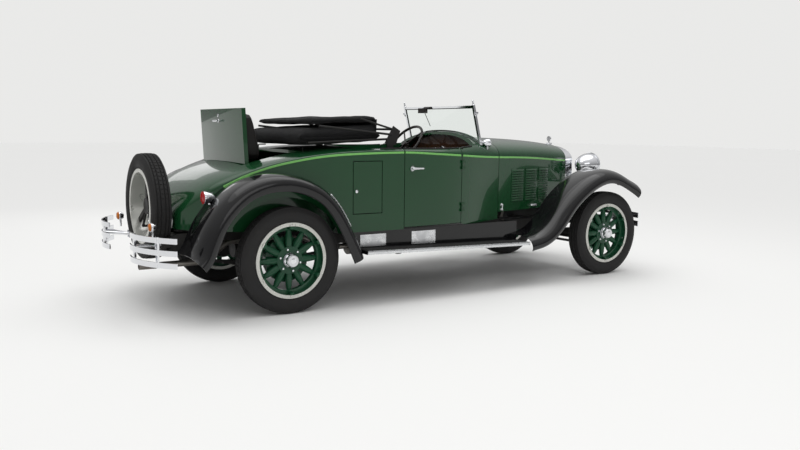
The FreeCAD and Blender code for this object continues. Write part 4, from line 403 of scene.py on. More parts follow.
def dress(name, mesh, body, smooth=35):
    """Make an object of a mesh, shade it and attach it to its body."""
    mesh.shade_smooth()
    mesh.set_sharp_from_angle(angle=math.radians(smooth))
    thing = placed(name, mesh)
    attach(thing, body)
    return thing


def skin(target, rings, caps=True, closed=True):
    """Faces from ring to ring; rows aren't closed, and a missing corner leaves a gap."""
    for one, two in zip(rings, rings[1:]):
        for k in range(len(one) - (not closed)):
            after = (k + 1) % len(one)
            corners = (one[k], one[after], two[after], two[k])
            if all(corners):
                target.faces.new(corners)
    if caps:
        target.faces.new(rings[0][::-1])
        target.faces.new(rings[-1])


def frame_along(axis):
    """Two unit vectors across an axis."""
    axis = Vector(axis).normalized()
    side = axis.orthogonal().normalized()
    return axis, side, axis.cross(side)


def heading_at(points, number):
    """Direction of a line at one of its points."""
    return (points[min(number + 1, len(points) - 1)] - points[max(number - 1, 0)]).normalized()


def circle(target, centre, side, other, radius, segments, flat=None):
    """A ring of new points across two directions; flat makes it a polygon of so many sides."""
    ring = []
    for step in range(segments):
        angle = 2 * math.pi * step / segments
        reach = radius
        if flat:
            near = (angle + math.pi / flat) % (2 * math.pi / flat) - math.pi / flat
            reach = radius * math.cos(math.pi / flat) / math.cos(near)
        ring.append(target.verts.new(centre + reach * (side * math.cos(angle)
                                                       + other * math.sin(angle))))
    return ring


def turned(target, centre, axis, profile, segments=48, flat=None):
    """Add a closed lathe shape: profile is (distance along the axis, radius)."""
    axis, side, other = frame_along(axis)
    skin(target, [circle(target, Vector(centre) + axis * along, side, other, radius, segments,
                         flat) for along, radius in profile])


def tube(target, points, radius, segments=12):
    """Add a round tube through points, closed at both ends."""
    points = [Vector(point) for point in points]
    rings = []
    side = None
    for number, point in enumerate(points):
        along = heading_at(points, number)
        side = along.orthogonal() if side is None else side - along * side.dot(along)
        side.normalize()
        other = along.cross(side)
        rings.append(circle(target, point, side, other, radius, segments))
    skin(target, rings)


def block(target, low, high, bevel=0.0):
    """Add a box, with its edges eased."""
    made = bmesh.ops.create_cube(target, size=1.0)["verts"]
    low, high = Vector(low), Vector(high)
    for vert in made:
        vert.co = Vector([(low[k] + high[k]) / 2 + vert.co[k] * (high[k] - low[k])
                          for k in range(3)])
    if bevel:
        edges = list({edge for vert in made for edge in vert.link_edges})
        bmesh.ops.bevel(target, geom=edges, offset=bevel, segments=2, affect="EDGES")


def smooth_line(points, count):
    """Evenly spread points on a Catmull-Rom line through the given ones."""
    points = [Vector(point) for point in points]
    ends = [points[0] * 2 - points[1]] + points + [points[-1] * 2 - points[-2]]
    dense = []
    for a, b, c, d in zip(ends, ends[1:], ends[2:], ends[3:]):
        for step in range(16):
            t = step / 16
            dense.append(0.5 * (2 * b + (c - a) * t + (2 * a - 5 * b + 4 * c - d) * t * t
                                + (3 * b - a - 3 * c + d) * t ** 3))
    dense.append(points[-1])
    lengths = [0.0]
    for one, two in zip(dense, dense[1:]):
        lengths.append(lengths[-1] + (two - one).length)
    line = []
    place = 0
    for step in range(count):
        goal = lengths[-1] * step / (count - 1)
        while place < len(dense) - 2 and lengths[place + 1] < goal:
            place += 1
        share = (goal - lengths[place]) / max(lengths[place + 1] - lengths[place], 1e-9)
        line.append(dense[place].lerp(dense[place + 1], min(max(share, 0), 1)))
    return line


print("helpers ready")

# %% [markdown]
# ## Geometry Nodes for what repeats
# Bolts, louvres, tread blocks and ribs repeat along a row or round a ring. Two node trees do
# this: each places copies of a seed piece, makes them real and sets their finish. The result
# becomes a plain mesh.


# %% Build the repeating trees
def repeat_tree(name, ring):
    """A node tree that sets a seed piece along a row or round a ring."""
    tree = bpy.data.node_groups.new(name, "GeometryNodeTree")
    face = tree.interface
    sockets = {}
    for title, kind in (("Seed", "NodeSocketObject"), ("Count", "NodeSocketInt"),
                        ("Spacing", "NodeSocketVector"), ("Radius", "NodeSocketFloat"),
                        ("Finish", "NodeSocketMaterial")):
        sockets[title] = face.new_socket(title, in_out="INPUT", socket_type=kind).identifier
    face.new_socket("Mesh", in_out="OUTPUT", socket_type="NodeSocketGeometry")
    entry = add(tree, "NodeGroupInput")
    out = add(tree, "NodeGroupOutput")
    seed = add(tree, "GeometryNodeObjectInfo")
    copies = add(tree, "GeometryNodeInstanceOnPoints")
    real = add(tree, "GeometryNodeRealizeInstances")
    coat = add(tree, "GeometryNodeSetMaterial")
    if ring:
        points = add(tree, "GeometryNodeMeshCircle")
        where = add(tree, "GeometryNodeInputPosition")
        facing = add(tree, "FunctionNodeAlignRotationToVector", axis="X", pivot_axis="Z")
        join(tree, (entry, "Count", points, "Vertices"), (entry, "Radius", points, "Radius"),
             (where, 0, facing, "Vector"), (facing, 0, copies, "Rotation"))
    else:
        points = add(tree, "GeometryNodeMeshLine")
        join(tree, (entry, "Count", points, "Count"), (entry, "Spacing", points, "Offset"))
    join(tree, (entry, "Seed", seed, "Object"), (points, "Mesh", copies, "Points"),
         (seed, "Geometry", copies, "Instance"), (copies, 0, real, 0), (real, 0, coat, "Geometry"),
         (entry, "Finish", coat, "Material"), (coat, 0, out, 0))
    return tree, sockets


def applied(thing):
    """The plain mesh that an object's modifiers make; the modifiers go."""
    graph = bpy.context.evaluated_depsgraph_get()
    mesh = bpy.data.meshes.new_from_object(thing.evaluated_get(graph))
    thing.modifiers.clear()
    return mesh


row_tree = repeat_tree("row_of_pieces", False)
ring_tree = repeat_tree("ring_of_pieces", True)


def repeated(tree_and_sockets, seed_shape, count, material, spacing=(0, 0, 0), radius=0.0,
             matrix=None):
    """Run a tree on a bmesh seed and return the plain mesh, moved by a matrix."""
    tree, sockets = tree_and_sockets
    bmesh.ops.recalc_face_normals(seed_shape, faces=seed_shape.faces)
    seed = placed("seed", plain_mesh("seed", seed_shape, material))
    holder = placed("holder", bpy.data.meshes.new("holder"))
    modifier = holder.modifiers.new("repeat", "NODES")
    modifier.node_group = tree
    for title, value in (("Seed", seed), ("Count", count), ("Spacing", list(spacing)),
                         ("Radius", radius), ("Finish", material)):
        modifier[sockets[title]] = value
    mesh = applied(holder)
    bpy.data.objects.remove(holder)
    bpy.data.objects.remove(seed)
    mesh.materials.clear()
    mesh.materials.append(material)
    if matrix:
        mesh.transform(matrix)
    return mesh


def merged(name, meshes, body="car_body", smooth=35):
    """One piece made of several plain meshes."""
    whole = bmesh.new()
    for mesh in meshes:
        whole.from_mesh(mesh)
    for face in whole.faces:
        face.material_index = 0
    bmesh.ops.recalc_face_normals(whole, faces=whole.faces)
    return dress(name, plain_mesh(name, whole, meshes[0].materials[0]), body, smooth)


print("trees:", row_tree[0].name, ring_tree[0].name)

# %% [markdown]
# ## Tyres
# A tyre of the time is tall and narrow, with a nearly flat tread cut by grooves. The carcass is a
# turned profile with circumferential grooves, and the ring tree adds the tread blocks between
# them. The piece replaces the plain CAD tyre and stays inside its outline.

# %% Turn the tyres
TYRE_PROFILE = [(-0.050, 0.2845), (-0.058, 0.289), (-0.064, 0.298), (-0.0655, 0.303),
                (-0.067, 0.304), (-0.0705, 0.325), (-0.0718, 0.345), (-0.0705, 0.362),
                (-0.0700, 0.363), (-0.0650, 0.378), (-0.0560, 0.389), (-0.0545, 0.3915),
                (-0.0500, 0.3925), (-0.0440, 0.3935), (-0.0425, 0.3890), (-0.0385, 0.3890),
                (-0.0370, 0.3945), (-0.0200, 0.3955), (-0.0185, 0.3900), (-0.0145, 0.3900),
                (-0.0130, 0.3960)]
TYRE_SEGMENTS, TREAD_ROOT, BLOCK_HALF, BLOCK_SLANT = 128, 0.392, 0.0125, 0.005
BLOCK_ROWS = ((0, 0.010, 0.3995, 72), (0.029, 0.0075, 0.3985, 72), (0.051, 0.0045, 0.3955, 96))


def tyre_mesh(centre, axis):
    """Carcass and tread blocks of one tyre about an axis."""
    shape = bmesh.new()
    profile = TYRE_PROFILE + [(-across, radius) for across, radius in reversed(TYRE_PROFILE)]
    axis, side, other = frame_along(axis)
    rings = [circle(shape, Vector(centre) + axis * across, side, other, radius, TYRE_SEGMENTS)
             for across, radius in profile]
    skin(shape, rings + rings[:1], caps=False)
    bmesh.ops.recalc_face_normals(shape, faces=shape.faces)
    turn = Matrix((side, other, axis)).transposed().to_4x4()
    meshes = [plain_mesh("carcass", shape, rubber)]
    for across, width, height, count in BLOCK_ROWS:
        for sign in ((1,) if across == 0 else (-1, 1)):
            seed = bmesh.new()
            block(seed, (-0.012, -BLOCK_HALF, -width), (height - TREAD_ROOT, BLOCK_HALF, width))
            for vert in seed.verts:
                if vert.co.z > 0:
                    vert.co.y += BLOCK_SLANT * sign
            turn.translation = Vector(centre) + axis * across * sign
            meshes.append(repeated(ring_tree, seed, count, rubber, radius=TREAD_ROOT, matrix=turn))
    return meshes


for corner, (x, y) in WHEELS.items():
    tyre = merged(f"tread_tyre_{corner}", tyre_mesh((x, y, WHEEL_HEIGHT), (0, 1, 0)),
                  f"road_wheel_{corner}", 50)
    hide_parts(f"tyre_{corner}")
spare_low, spare_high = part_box("spare_tyre")
SPARE = (spare_low + spare_high) / 2
spare = merged("tread_tyre_spare", tyre_mesh(SPARE, (1, 0, 0)), smooth=50)
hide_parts("spare_tyre")
print("a tyre has", len(tyre.data.polygons), "faces")

# %% [markdown]
# ## Wheel fittings
# The wooden spokes are clamped between steel flanges by six bolts, and a polished eight-sided cap
# closes the hub. The ring tree sets the bolts and the clamps' nuts.

# %% Fit the wheels
NUTS = 6
HUB_BOLTS, RIM_CLAMPS = (0.083, 0.0095, 0.030), (0.262, 0.0085, 0.0335)
for corner, (x, y) in WHEELS.items():
    sign = 1 if y > 0 else -1
    hub_low, hub_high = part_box(f"wheel_{corner}")
    cap_face = max(abs(hub_low.y), abs(hub_high.y))
    outward = Vector((0, sign, 0))
    cap = bmesh.new()
    at = Vector((x, 0, WHEEL_HEIGHT))
    turned(cap, at, outward, [(cap_face - 0.050, 0.0535), (cap_face - 0.042, 0.0550),
                              (cap_face - 0.036, 0.0500)], 48)
    turned(cap, at, outward, [(cap_face - 0.038, 0.0510), (cap_face - 0.014, 0.0500),
                              (cap_face - 0.006, 0.0450)], 64, flat=8)
    turned(cap, at, outward, [(cap_face - 0.008, 0.0380), (cap_face - 0.002, 0.0330),
                              (cap_face + 0.0005, 0.0180), (cap_face + 0.001, 0.0020)], 48)
    new_piece(f"hub_cap_{corner}", cap, chrome, f"road_wheel_{corner}", 25)
    _, side, other = frame_along(outward)
    turn = Matrix((side, other, outward)).transposed().to_4x4()
    fittings = []
    for radius, size, depth in (HUB_BOLTS, RIM_CLAMPS):
        seed = bmesh.new()
        turned(seed, (0, 0, 0), (0, 0, 1), [(-0.010, size), (0.004, size), (0.0065, size * 0.8)],
               24, flat=6)
        turned(seed, (0, 0, 0), (0, 0, 1), [(0.004, size * 0.45), (0.011, size * 0.45)], 12)
        turn.translation = Vector((x, y, WHEEL_HEIGHT)) + outward * depth
        fittings.append(repeated(ring_tree, seed, NUTS, chrome, radius=radius, matrix=turn))
    merged(f"wheel_nuts_{corner}", fittings, f"road_wheel_{corner}", 25)
print("hub caps and nuts on", len(WHEELS), "wheels")

# %% [markdown]
# ## The coach line
# A raised moulding painted light green runs along the belt of the body, from the tail to the
# radiator. Its path is a smooth line in the side view; rays shot at the panels find the surface
# under it, so it lies on every panel and ends at each door gap.


# %% Lay the coach line on the panels
OUTSIDE = 1.2


def surface(node, origin, direction):
    """Where a ray meets a CAD part, or None."""
    hit, place, *_ = nodes[node].ray_cast(Vector(origin), Vector(direction))
    return place if hit else None


BELT = [(-0.449, 0.949), (-0.27, 1.033), (0.0, 1.112), (0.4, 1.170), (1.0, 1.188),
        (1.35, 1.174), (1.64, 1.158), (1.9, 1.143), (2.165, 1.133), (2.46, 1.126),
        (2.70, 1.116), (3.205, 1.084)]
LINE_ROWS = ((-0.0085, -0.0006), (-0.0065, 0.0020), (0.0065, 0.0020), (0.0085, -0.0006))
NARROWEST = 0.25
belt_line = smooth_line([(station + REAR_AXLE, 0, z) for station, z in BELT], 300)


def coach_line(name, node, sign, body):
    """The part of the line that lies on one panel."""
    shape = bmesh.new()
    last = None
    for point in belt_line:
        column = []
        for rise, proud in LINE_ROWS:
            origin = (point.x, sign * OUTSIDE, point.z + rise)
            found = surface(node, origin, (0, -sign, 0))
            if found is None or abs(found.y) < NARROWEST:
                column = None
                break
            column.append(shape.verts.new(found + Vector((0, sign * proud, 0))))
        if column and last:
            skin(shape, [last, column], caps=False, closed=False)
        last = column
    if shape.faces:
        new_piece(name, shape, stripe_paint, body, 50)


for side, sign in SIDES:
    coach_line(f"coach_line_rear_{side}", "rear_body", sign, "car_body")
    coach_line(f"coach_line_door_{side}", f"door_{side}", sign, f"door_{side}")
    coach_line(f"coach_line_cowl_{side}", "cowl", sign, "car_body")
    coach_line(f"coach_line_bonnet_{side}", "bonnet", sign, "car_body")

# %% [markdown]
# ## Cockpit rim
# The edge of the cockpit is finished with a rolled leather bead. A ray from the side finds the
# panel, and one from above finds the height of the edge just inside it.


# %% Roll the cockpit rim
RIM_INSET = 0.041


def rim_points(node, sign, stations):
    """Points along the top edge of the cockpit on one panel."""
    points = []
    for station in stations:
        x = station + REAR_AXLE
        side_hit = surface(node, (x, sign * OUTSIDE, 1.10), (0, -sign, 0))
        if side_hit is None:
            continue
        y = side_hit.y - sign * RIM_INSET
        top = surface(node, (x, y, 1.6), (0, 0, -1))
        if top is not None and top.z > 1.1:
            points.append(Vector((x, y, top.z + 0.002)))
    return points


RIM_SPANS = {"rear_body": (0.66, 1.022), "door": (1.038, 1.632), "cowl": (1.65, 1.80)}
for side, sign in SIDES:
    for part, (start, end) in RIM_SPANS.items():
        node = f"door_{side}" if part == "door" else part
        body = node if part == "door" else "car_body"
        points = rim_points(node, sign, [start + (end - start) * k / 24 for k in range(25)])
        if len(points) > 2:
            bead = bmesh.new()
            tube(bead, points, 0.0075)
            new_piece(f"rim_bead_{part}_{side}", bead, leather, body, 60)

# %% [markdown]
# ## Louvres
# Hot air leaves the engine through three groups of pressed louvres on each side of the bonnet.
# One louvre is a small curved hood with tapered ends; the row tree stacks thirteen of them. A
# dark strip under each hood is painted shade for the shadowed slot that the hood covers.

# %% Press the louvres
BONNET_PLAN = [(2.165, 0.542), (2.46, 0.482), (2.70, 0.430), (3.221, 0.312)]
LOUVRE_GROUPS = ((2.350, 2.532), (2.556, 2.738), (2.762, 2.928))
LOUVRE_ROWS = 13
LOUVRE_PITCH = 0.0228
PANEL_RAISE, LOUVRE_FOOT = 0.0042, 0.726


def bonnet_half(station):
    """Half width of the bonnet side at a station."""
    for (x0, y0), (x1, y1) in zip(BONNET_PLAN, BONNET_PLAN[1:]):
        if x0 <= station <= x1:
            return y0 + (y1 - y0) * (station - x0) / (x1 - x0)
    return BONNET_PLAN[-1][1]


def louvre_seed(start, end, sign, profile, margin):
    """A shape of one cross-section swept along the bonnet side, thin at both ends."""
    seed = bmesh.new()
    rings = []
    for share, swell in ((0, 0.05), (0.03, 0.6), (0.08, 1), (0.92, 1), (0.97, 0.6), (1, 0.05)):
        station = start + margin + (end - start - 2 * margin) * share
        base = bonnet_half(start) + (bonnet_half(end) - bonnet_half(start)) * (
            (station - start) / (end - start)) + PANEL_RAISE
        rings.append([seed.verts.new(spot(station, sign * (base + depth * swell), LOUVRE_FOOT + z))
                      for depth, z in profile])
    skin(seed, rings)
    return seed


HOOD = [(-0.002, 0.0155), (0.0015, 0.0150), (0.0055, 0.0120), (0.0085, 0.0070), (0.0095, 0.0005),
        (0.0082, 0.0002), (0.0068, 0.0062), (0.0040, 0.0100), (-0.002, 0.0120)]
# The dark strip under each hood is painted shade, put where the open slot would be in shadow.
SLOT_SHADE = [(-0.001, -0.0020), (0.0006, -0.0020), (0.0006, 0.0085), (-0.001, 0.0085)]
for side, sign in SIDES:
    hoods, slot_shades = [], []
    for start, end in LOUVRE_GROUPS:
        for profile, finish_used, margin, kept in ((HOOD, body_paint, 0.006, hoods),
                                                   (SLOT_SHADE, frame_paint, 0.012, slot_shades)):
            seed = louvre_seed(start, end, sign, profile, margin)
            kept.append(repeated(row_tree, seed, LOUVRE_ROWS, finish_used,
                                 spacing=(0, 0, LOUVRE_PITCH)))
    merged(f"louvres_{side}", hoods, smooth=50)
    # These dark strips are painted shade; the bonnet panel has no openings.
    merged(f"louvre_slots_{side}", slot_shades, smooth=50)
print("louvres:", 2 * len(LOUVRE_GROUPS) * LOUVRE_ROWS)

# %% [markdown]
# ## Handles and catches
# The lever handles of the doors, the bonnet grips, the knob of the side locker and the T-handle
# of the rumble lid are chromed. Each is a turned shape that sleeves the plain CAD one.

# %% Turn the handles
DOOR_STATION, DOOR_HANDLE_Z, DOOR_SKIN, GRIP_Z = 1.108, 1.058, 0.7179, 0.674
for side, sign in SIDES:
    out = (0, sign, 0)
    lever = bmesh.new()
    foot = spot(DOOR_STATION, sign * DOOR_SKIN, DOOR_HANDLE_Z)
    turned(lever, foot, out, [(-0.002, 0.0225), (0.005, 0.0215), (0.0095, 0.0150),
                              (0.012, 0.0095), (0.034, 0.0088)], 32)
    arm = spot(DOOR_STATION, sign * (DOOR_SKIN + 0.030), DOOR_HANDLE_Z)
    turned(lever, arm, (1, 0, 0), [(-0.0200, 0.003), (-0.0185, 0.0085), (-0.012, 0.0102),
                                   (0.004, 0.0100), (0.040, 0.0078), (0.075, 0.0066),
                                   (0.086, 0.0080), (0.0905, 0.0060), (0.092, 0.002)], 24)
    new_piece(f"door_lever_{side}", lever, chrome, f"door_{side}")
    grip = bmesh.new()
    grip_y = bonnet_half(2.675) + 0.019
    turned(grip, spot(2.636, sign * grip_y, GRIP_Z), (1, 0, 0),
           [(0, 0.004), (0.002, 0.0105), (0.010, 0.0118), (0.038, 0.0106), (0.068, 0.0118),
            (0.076, 0.0105), (0.078, 0.004)], 24)
    for station in (2.647, 2.703):
        turned(grip, spot(station, sign * (bonnet_half(station) - 0.002), GRIP_Z), out,
               [(0, 0.0125), (0.004, 0.0110), (0.007, 0.0088), (0.022, 0.0088)], 20)
    new_piece(f"bonnet_grip_{side}", grip, chrome)
    catches = bmesh.new()
    for station in (2.215, 3.14):
        skin_y = sign * bonnet_half(station)
        for z, size in ((0.700, 0.013), (0.655, 0.011)):
            turned(catches, spot(station, skin_y, z), out,
                   [(-0.002, size), (0.004, size), (0.009, size * 0.6), (0.016, size * 0.55),
                    (0.020, size * 0.3)], 20)
        tube(catches, [spot(station, skin_y + sign * 0.013, z) for z in (0.650, 0.675, 0.708)],
             0.0045)
    new_piece(f"bonnet_catches_{side}", catches, chrome)
knob = bmesh.new()
turned(knob, spot(0.582, -0.7085, 0.890), (0, -1, 0),
       [(0, 0.0155), (0.003, 0.0150), (0.005, 0.0096), (0.011, 0.0096), (0.014, 0.0125),
        (0.019, 0.0120), (0.0215, 0.008), (0.022, 0.001)], 28)
new_piece("locker_knob", knob, chrome, "locker_door")
LID_LEAN = math.radians(-3)
LID_FOOT = spot(-0.223, 0, 1.0887)


def on_lid(x, y, z):
    """A point given in the leaning lid's own directions."""
    return LID_FOOT + Vector((x * math.cos(LID_LEAN) + z * math.sin(LID_LEAN), y,
                              z * math.cos(LID_LEAN) - x * math.sin(LID_LEAN)))


lid_out = on_lid(-1, 0, 0) - on_lid(0, 0, 0)
handle = bmesh.new()
turned(handle, on_lid(-0.015, 0, 0.338), lid_out, [(0, 0.016), (0.004, 0.015), (0.007, 0.0068),
                                                   (0.030, 0.0066)], 28)
turned(handle, on_lid(-0.044, -0.046, 0.338), (0, 1, 0),
       [(0, 0.003), (0.002, 0.0070), (0.010, 0.0080), (0.046, 0.0068), (0.082, 0.0080),
        (0.090, 0.0070), (0.092, 0.003)], 24)
turned(handle, on_lid(-0.015, 0, 0.378), lid_out, [(0, 0.0125), (0.005, 0.0120), (0.0068, 0.0095),
                                                   (0.007, 0.001)], 28)
new_piece("lid_handle", handle, chrome, "rumble_lid")
print("handles fitted")

# %% [markdown]
# ## Lamp glass
# Each lamp is a chromed bullet with a glass in front. The glass is a shallow dome; the headlamps'
# has vertical flutes pressed into it, which spread the beam sideways.


# %% Set the lamp glasses
def lamp_lens(name, centre, radius, heading, material, flutes=0.0):
    """A domed glass over the front of a bullet lamp, heading along X."""
    sphere = radius * 1.9
    reach = radius * 0.93
    back = radius * 1.42
    profile = [(radius * 0.158, reach + 0.0006)]
    for step in range(13):
        r = (reach + 0.0006) * (1 - step / 12)
        profile.append((math.sqrt(sphere ** 2 - r ** 2) - back + 0.0012, max(r, 0.0004)))
    lens = bmesh.new()
    turned(lens, centre, (heading, 0, 0), profile, 72)
    if flutes:
        for vert in lens.verts:
            across = vert.co.y - centre[1]
            if math.hypot(across, vert.co.z - centre[2]) < reach * 0.96:
                vert.co.x += heading * 0.0007 * (math.cos(2 * math.pi * across / flutes) - 1)
    new_piece(name, lens, material, smooth=40)


for side, sign in SIDES:
    lamp_lens(f"headlamp_glass_{side}", spot(3.445, sign * 0.42, 1.04), 0.122, 1, lamp_glass,
              flutes=0.016)
    lamp_lens(f"cowl_lamp_glass_{side}", spot(2.020, sign * 0.558, 1.262), 0.037, 1,
              lamp_glass)
    lamp_lens(f"tail_lamp_glass_{side}", spot(-0.612, sign * 0.640, 0.880), 0.048, -1,
              red_glass)
    amber = bmesh.new()
    lamp_at = spot(-0.930, sign * 0.439, 0.665)
    turned(amber, lamp_at, (-1, 0, 0), [(0.001, 0.029), (0.012, 0.029), (0.019, 0.022),
                                        (0.022, 0.010), (0.0225, 0.001)], 36)
    new_piece(f"turn_lamp_glass_{side}", amber, amber_glass)
    cup = bmesh.new()
    turned(cup, lamp_at, (-1, 0, 0), [(-0.034, 0.010), (-0.030, 0.022), (-0.014, 0.031),
                                      (0.004, 0.0335), (0.006, 0.0325), (0.006, 0.029)], 36)
    tube(cup, [lamp_at + Vector((0.010, 0, -0.025)), lamp_at + Vector((0.010, 0, -0.085))], 0.007)
    new_piece(f"turn_lamp_{side}", cup, chrome)
print("lamp glasses set")

# %% [markdown]
# ## Running boards and pads
# The boards are covered with ribbed rubber and edged with a bright strip. The ribs are one long
# half-round bar, repeated across the board by the row tree. A ribbed step pad lies on the rear
# fender, for climbing into the rumble seat.


# %% Cover the boards
def board_top(station):
    """Height of the running board."""
    return 0.438 - 0.044 * (station - 0.505) / 1.785


def along_board(name, sign, profile, past, material, smooth=35):
    """A bar of one cross-section along a board, reaching past its covering."""
    bar = bmesh.new()
    skin(bar, [[bar.verts.new(spot(station, sign * y, board_top(station) + rise))
                for y, rise in profile] for station in (BOARD_REAR - past, BOARD_FRONT + past)])
    new_piece(name, bar, material, smooth=smooth)


BOARD_REAR, BOARD_FRONT = 0.606, 2.262
RIB_COUNT, RIB_PITCH, RIB_RADIUS = 15, 0.0098, 0.0031
MAT = [(0.702, -0.001), (0.702, 0.003), (0.866, 0.003), (0.866, -0.001)]
STRIP = [(0.8675, -0.026), (0.8705, -0.0255), (0.8725, -0.020), (0.8725, -0.004),
         (0.8705, 0.0035), (0.8660, 0.0055), (0.8625, 0.0045), (0.8625, 0.001)]
for side, sign in SIDES:
    along_board(f"board_mat_{side}", sign, MAT, 0, mat_rubber)
    rib = bmesh.new()
    tube(rib, [spot(station, sign * 0.716, board_top(station) + 0.0026)
               for station in (BOARD_REAR + 0.01, BOARD_FRONT - 0.01)], RIB_RADIUS, 8)
    merged(f"board_ribs_{side}",
           [repeated(row_tree, rib, RIB_COUNT, mat_rubber, spacing=(0, sign * RIB_PITCH, 0))],
           smooth=60)
    along_board(f"board_strip_{side}", sign, STRIP, 0.004, aluminium, 50)

pad = bmesh.new()
COLUMNS, ROWS = 19, 9
grid = []
for i in range(COLUMNS):
    row = []
    for j in range(ROWS):
        x = spot(0.300 + 0.170 * i / (COLUMNS - 1), 0, 0).x
        y = -0.835 + 0.105 * j / (ROWS - 1)
        found = surface("rear_fenders", (x, y, 1.5), (0, 0, -1))
        lift = 0.006 + (0.003 if i % 2 else 0.0)
        row.append(pad.verts.new(found + Vector((lift * 0.5, 0, lift))) if found else None)
    grid.append(row)
skin(pad, grid, caps=False, closed=False)
step_pad = new_piece("fender_step_pad", pad, aluminium, smooth=20)
thick = step_pad.modifiers.new("thickness", "SOLIDIFY")
thick.thickness = 0.006
thick.offset = -1
print("boards covered")

# %% [markdown]
# ## Cockpit lining
# Leather cards line the doors and the sides of the cowl, and a carpet covers the floor up to the
# toe board. Each is a grid of points found by rays from inside the cockpit, given a thickness.


# %% Line the cockpit
def laid_sheet(name, grid, thickness, material, body="car_body"):
    """A closed thin sheet through a grid of points; squares with a missing corner stay open."""
    shape = bmesh.new()
    verts = [[shape.verts.new(point) if point else None for point in row] for row in grid]
    skin(shape, verts, caps=False, closed=False)
    bmesh.ops.delete(shape, geom=[vert for vert in shape.verts if not vert.link_faces],
                     context="VERTS")
    if shape.faces:
        bmesh.ops.recalc_face_normals(shape, faces=shape.faces)
        bmesh.ops.solidify(shape, geom=shape.faces[:], thickness=thickness)
        new_piece(name, shape, material, body, 40)


CARD_GAP = 0.004
for side, sign in SIDES:
    for node, body, first, last, low, high in (
            (f"door_{side}", f"door_{side}", 1.075, 1.615, 0.655, 1.105),
            ("cowl", "car_body", 1.690, 2.020, 0.700, 1.060)):
        grid = []
        for i in range(19):
            station = first + (last - first) * i / 18
            row = []
            for j in range(15):
                z = low + (high - low) * j / 14
                found = surface(node, spot(station, sign * 0.30, z), (0, sign, 0))
                row.append(found - Vector((0, sign * CARD_GAP, 0)) if found else None)
            grid.append(row)
        laid_sheet(f"{node}_card_{side}", grid, 0.003, leather, body)

grid = []
for i in range(25):
    station = 1.570 + 0.440 * i / 24
    row = []
    for share in [step / 15 - 1 for step in range(31)]:
        side = math.copysign(1, share)
        wall = surface("cowl" if station > 1.66 else f"door_{'left' if side > 0 else 'right'}",
                       spot(station, side * 0.30, 0.640), (0, side, 0))
        y = share * ((abs(wall.y) if wall else 0.60) - 0.010)
        found = surface("floor", spot(station, min(0.5, max(-0.5, y)), 1.0), (0, 0, -1))
        row.append(Vector((spot(station, 0, 0).x, y, found.z + 0.006)) if found else None)
    grid.append(row)
laid_sheet("cockpit_carpet", grid, 0.005, carpet)

# %% [markdown]
# ## Windscreen, dials and radiator
# Finial nuts, hinge knobs and a gasket finish the windscreen. The dials get pale faces with
# needles and bright bezels. Thin upright shutters stand in front of the radiator core.

# %% Fit the small trim
SCREEN_TOP = spot(1.860, 0, 1.586)
SCREEN_FOOT = spot(1.958, 0, 1.204)
screen_up = (SCREEN_TOP - SCREEN_FOOT).normalized()
trim = bmesh.new()
for sign in (-1, 1):
    top = SCREEN_TOP + Vector((0, sign * 0.540, 0.004))
    turned(trim, top, screen_up, [(-0.004, 0.0125), (0.003, 0.0125), (0.006, 0.0095),
                                  (0.030, 0.0060), (0.036, 0.0085), (0.041, 0.0080),
                                  (0.0445, 0.0045), (0.045, 0.001)], 24)
    for share, size in ((0.17, 0.013), (0.80, 0.016)):
        pivot = SCREEN_FOOT.lerp(SCREEN_TOP, share) + Vector((0, sign * 0.549, 0))
        turned(trim, pivot, (0, sign, 0), [(0, size), (0.006, size), (0.009, size * 0.7),
                                           (0.022, size * 0.6), (0.026, size * 0.2)], 20)
new_piece("screen_finials", trim, chrome)
gasket = bmesh.new()
GASKET_SIDE, GASKET_LOW, GASKET_HIGH, GASKET_TOP, GASKET_RADIUS = 0.526, 0.115, 0.945, 0.947, 0.0045
for (y0, share0), (y1, share1) in (
        ((GASKET_SIDE, GASKET_LOW), (GASKET_SIDE, GASKET_HIGH)),
        ((-GASKET_SIDE, GASKET_LOW), (-GASKET_SIDE, GASKET_HIGH)),
        ((-GASKET_SIDE, GASKET_TOP), (GASKET_SIDE, GASKET_TOP))):
    tube(gasket, [SCREEN_FOOT.lerp(SCREEN_TOP, share0) + Vector((0, y0, 0)),
                  SCREEN_FOOT.lerp(SCREEN_TOP, share1) + Vector((0, y1, 0))], GASKET_RADIUS, 8)
new_piece("screen_gasket", gasket, mat_rubber)

DIALS = ((0.0, 0.046), (-0.110, 0.032), (0.110, 0.032), (-0.190, 0.026), (0.190, 0.026))
DIAL_X, DIAL_Z = 1.926, 1.173
faces, bezels, needles = bmesh.new(), bmesh.new(), bmesh.new()
for y, radius in DIALS:
    centre = spot(DIAL_X, y, DIAL_Z)
    turned(faces, centre, (-1, 0, 0), [(0, radius * 0.9), (0.0012, radius * 0.88)], 40)
    turned(bezels, centre, (1, 0, 0), [(-0.006, radius * 0.90), (-0.0075, radius * 0.96),
                                       (-0.005, radius * 1.04), (0.004, radius * 1.06),
                                       (0.004, radius * 0.90)], 40)
    swing = 0.7 + 9 * radius
    tip = centre + Vector((-0.0026, math.sin(swing) * radius * 0.75,
                           math.cos(swing) * radius * 0.75))
    tube(needles, [centre + Vector((-0.0026, 0, 0)), tip], 0.0009, 6)
    for mark in range(10):
        angle = math.radians(-130 + 260 * mark / 9)
        along = Vector((0, math.sin(angle), math.cos(angle)))
        tube(needles, [centre + Vector((-0.0018, 0, 0)) + along * radius * 0.70,
                       centre + Vector((-0.0018, 0, 0)) + along * radius * 0.84], 0.0006, 4)
new_piece("dial_faces", faces, dial_face)
new_piece("dial_bezels", bezels, chrome)
new_piece("dial_marks", needles, ebonite)

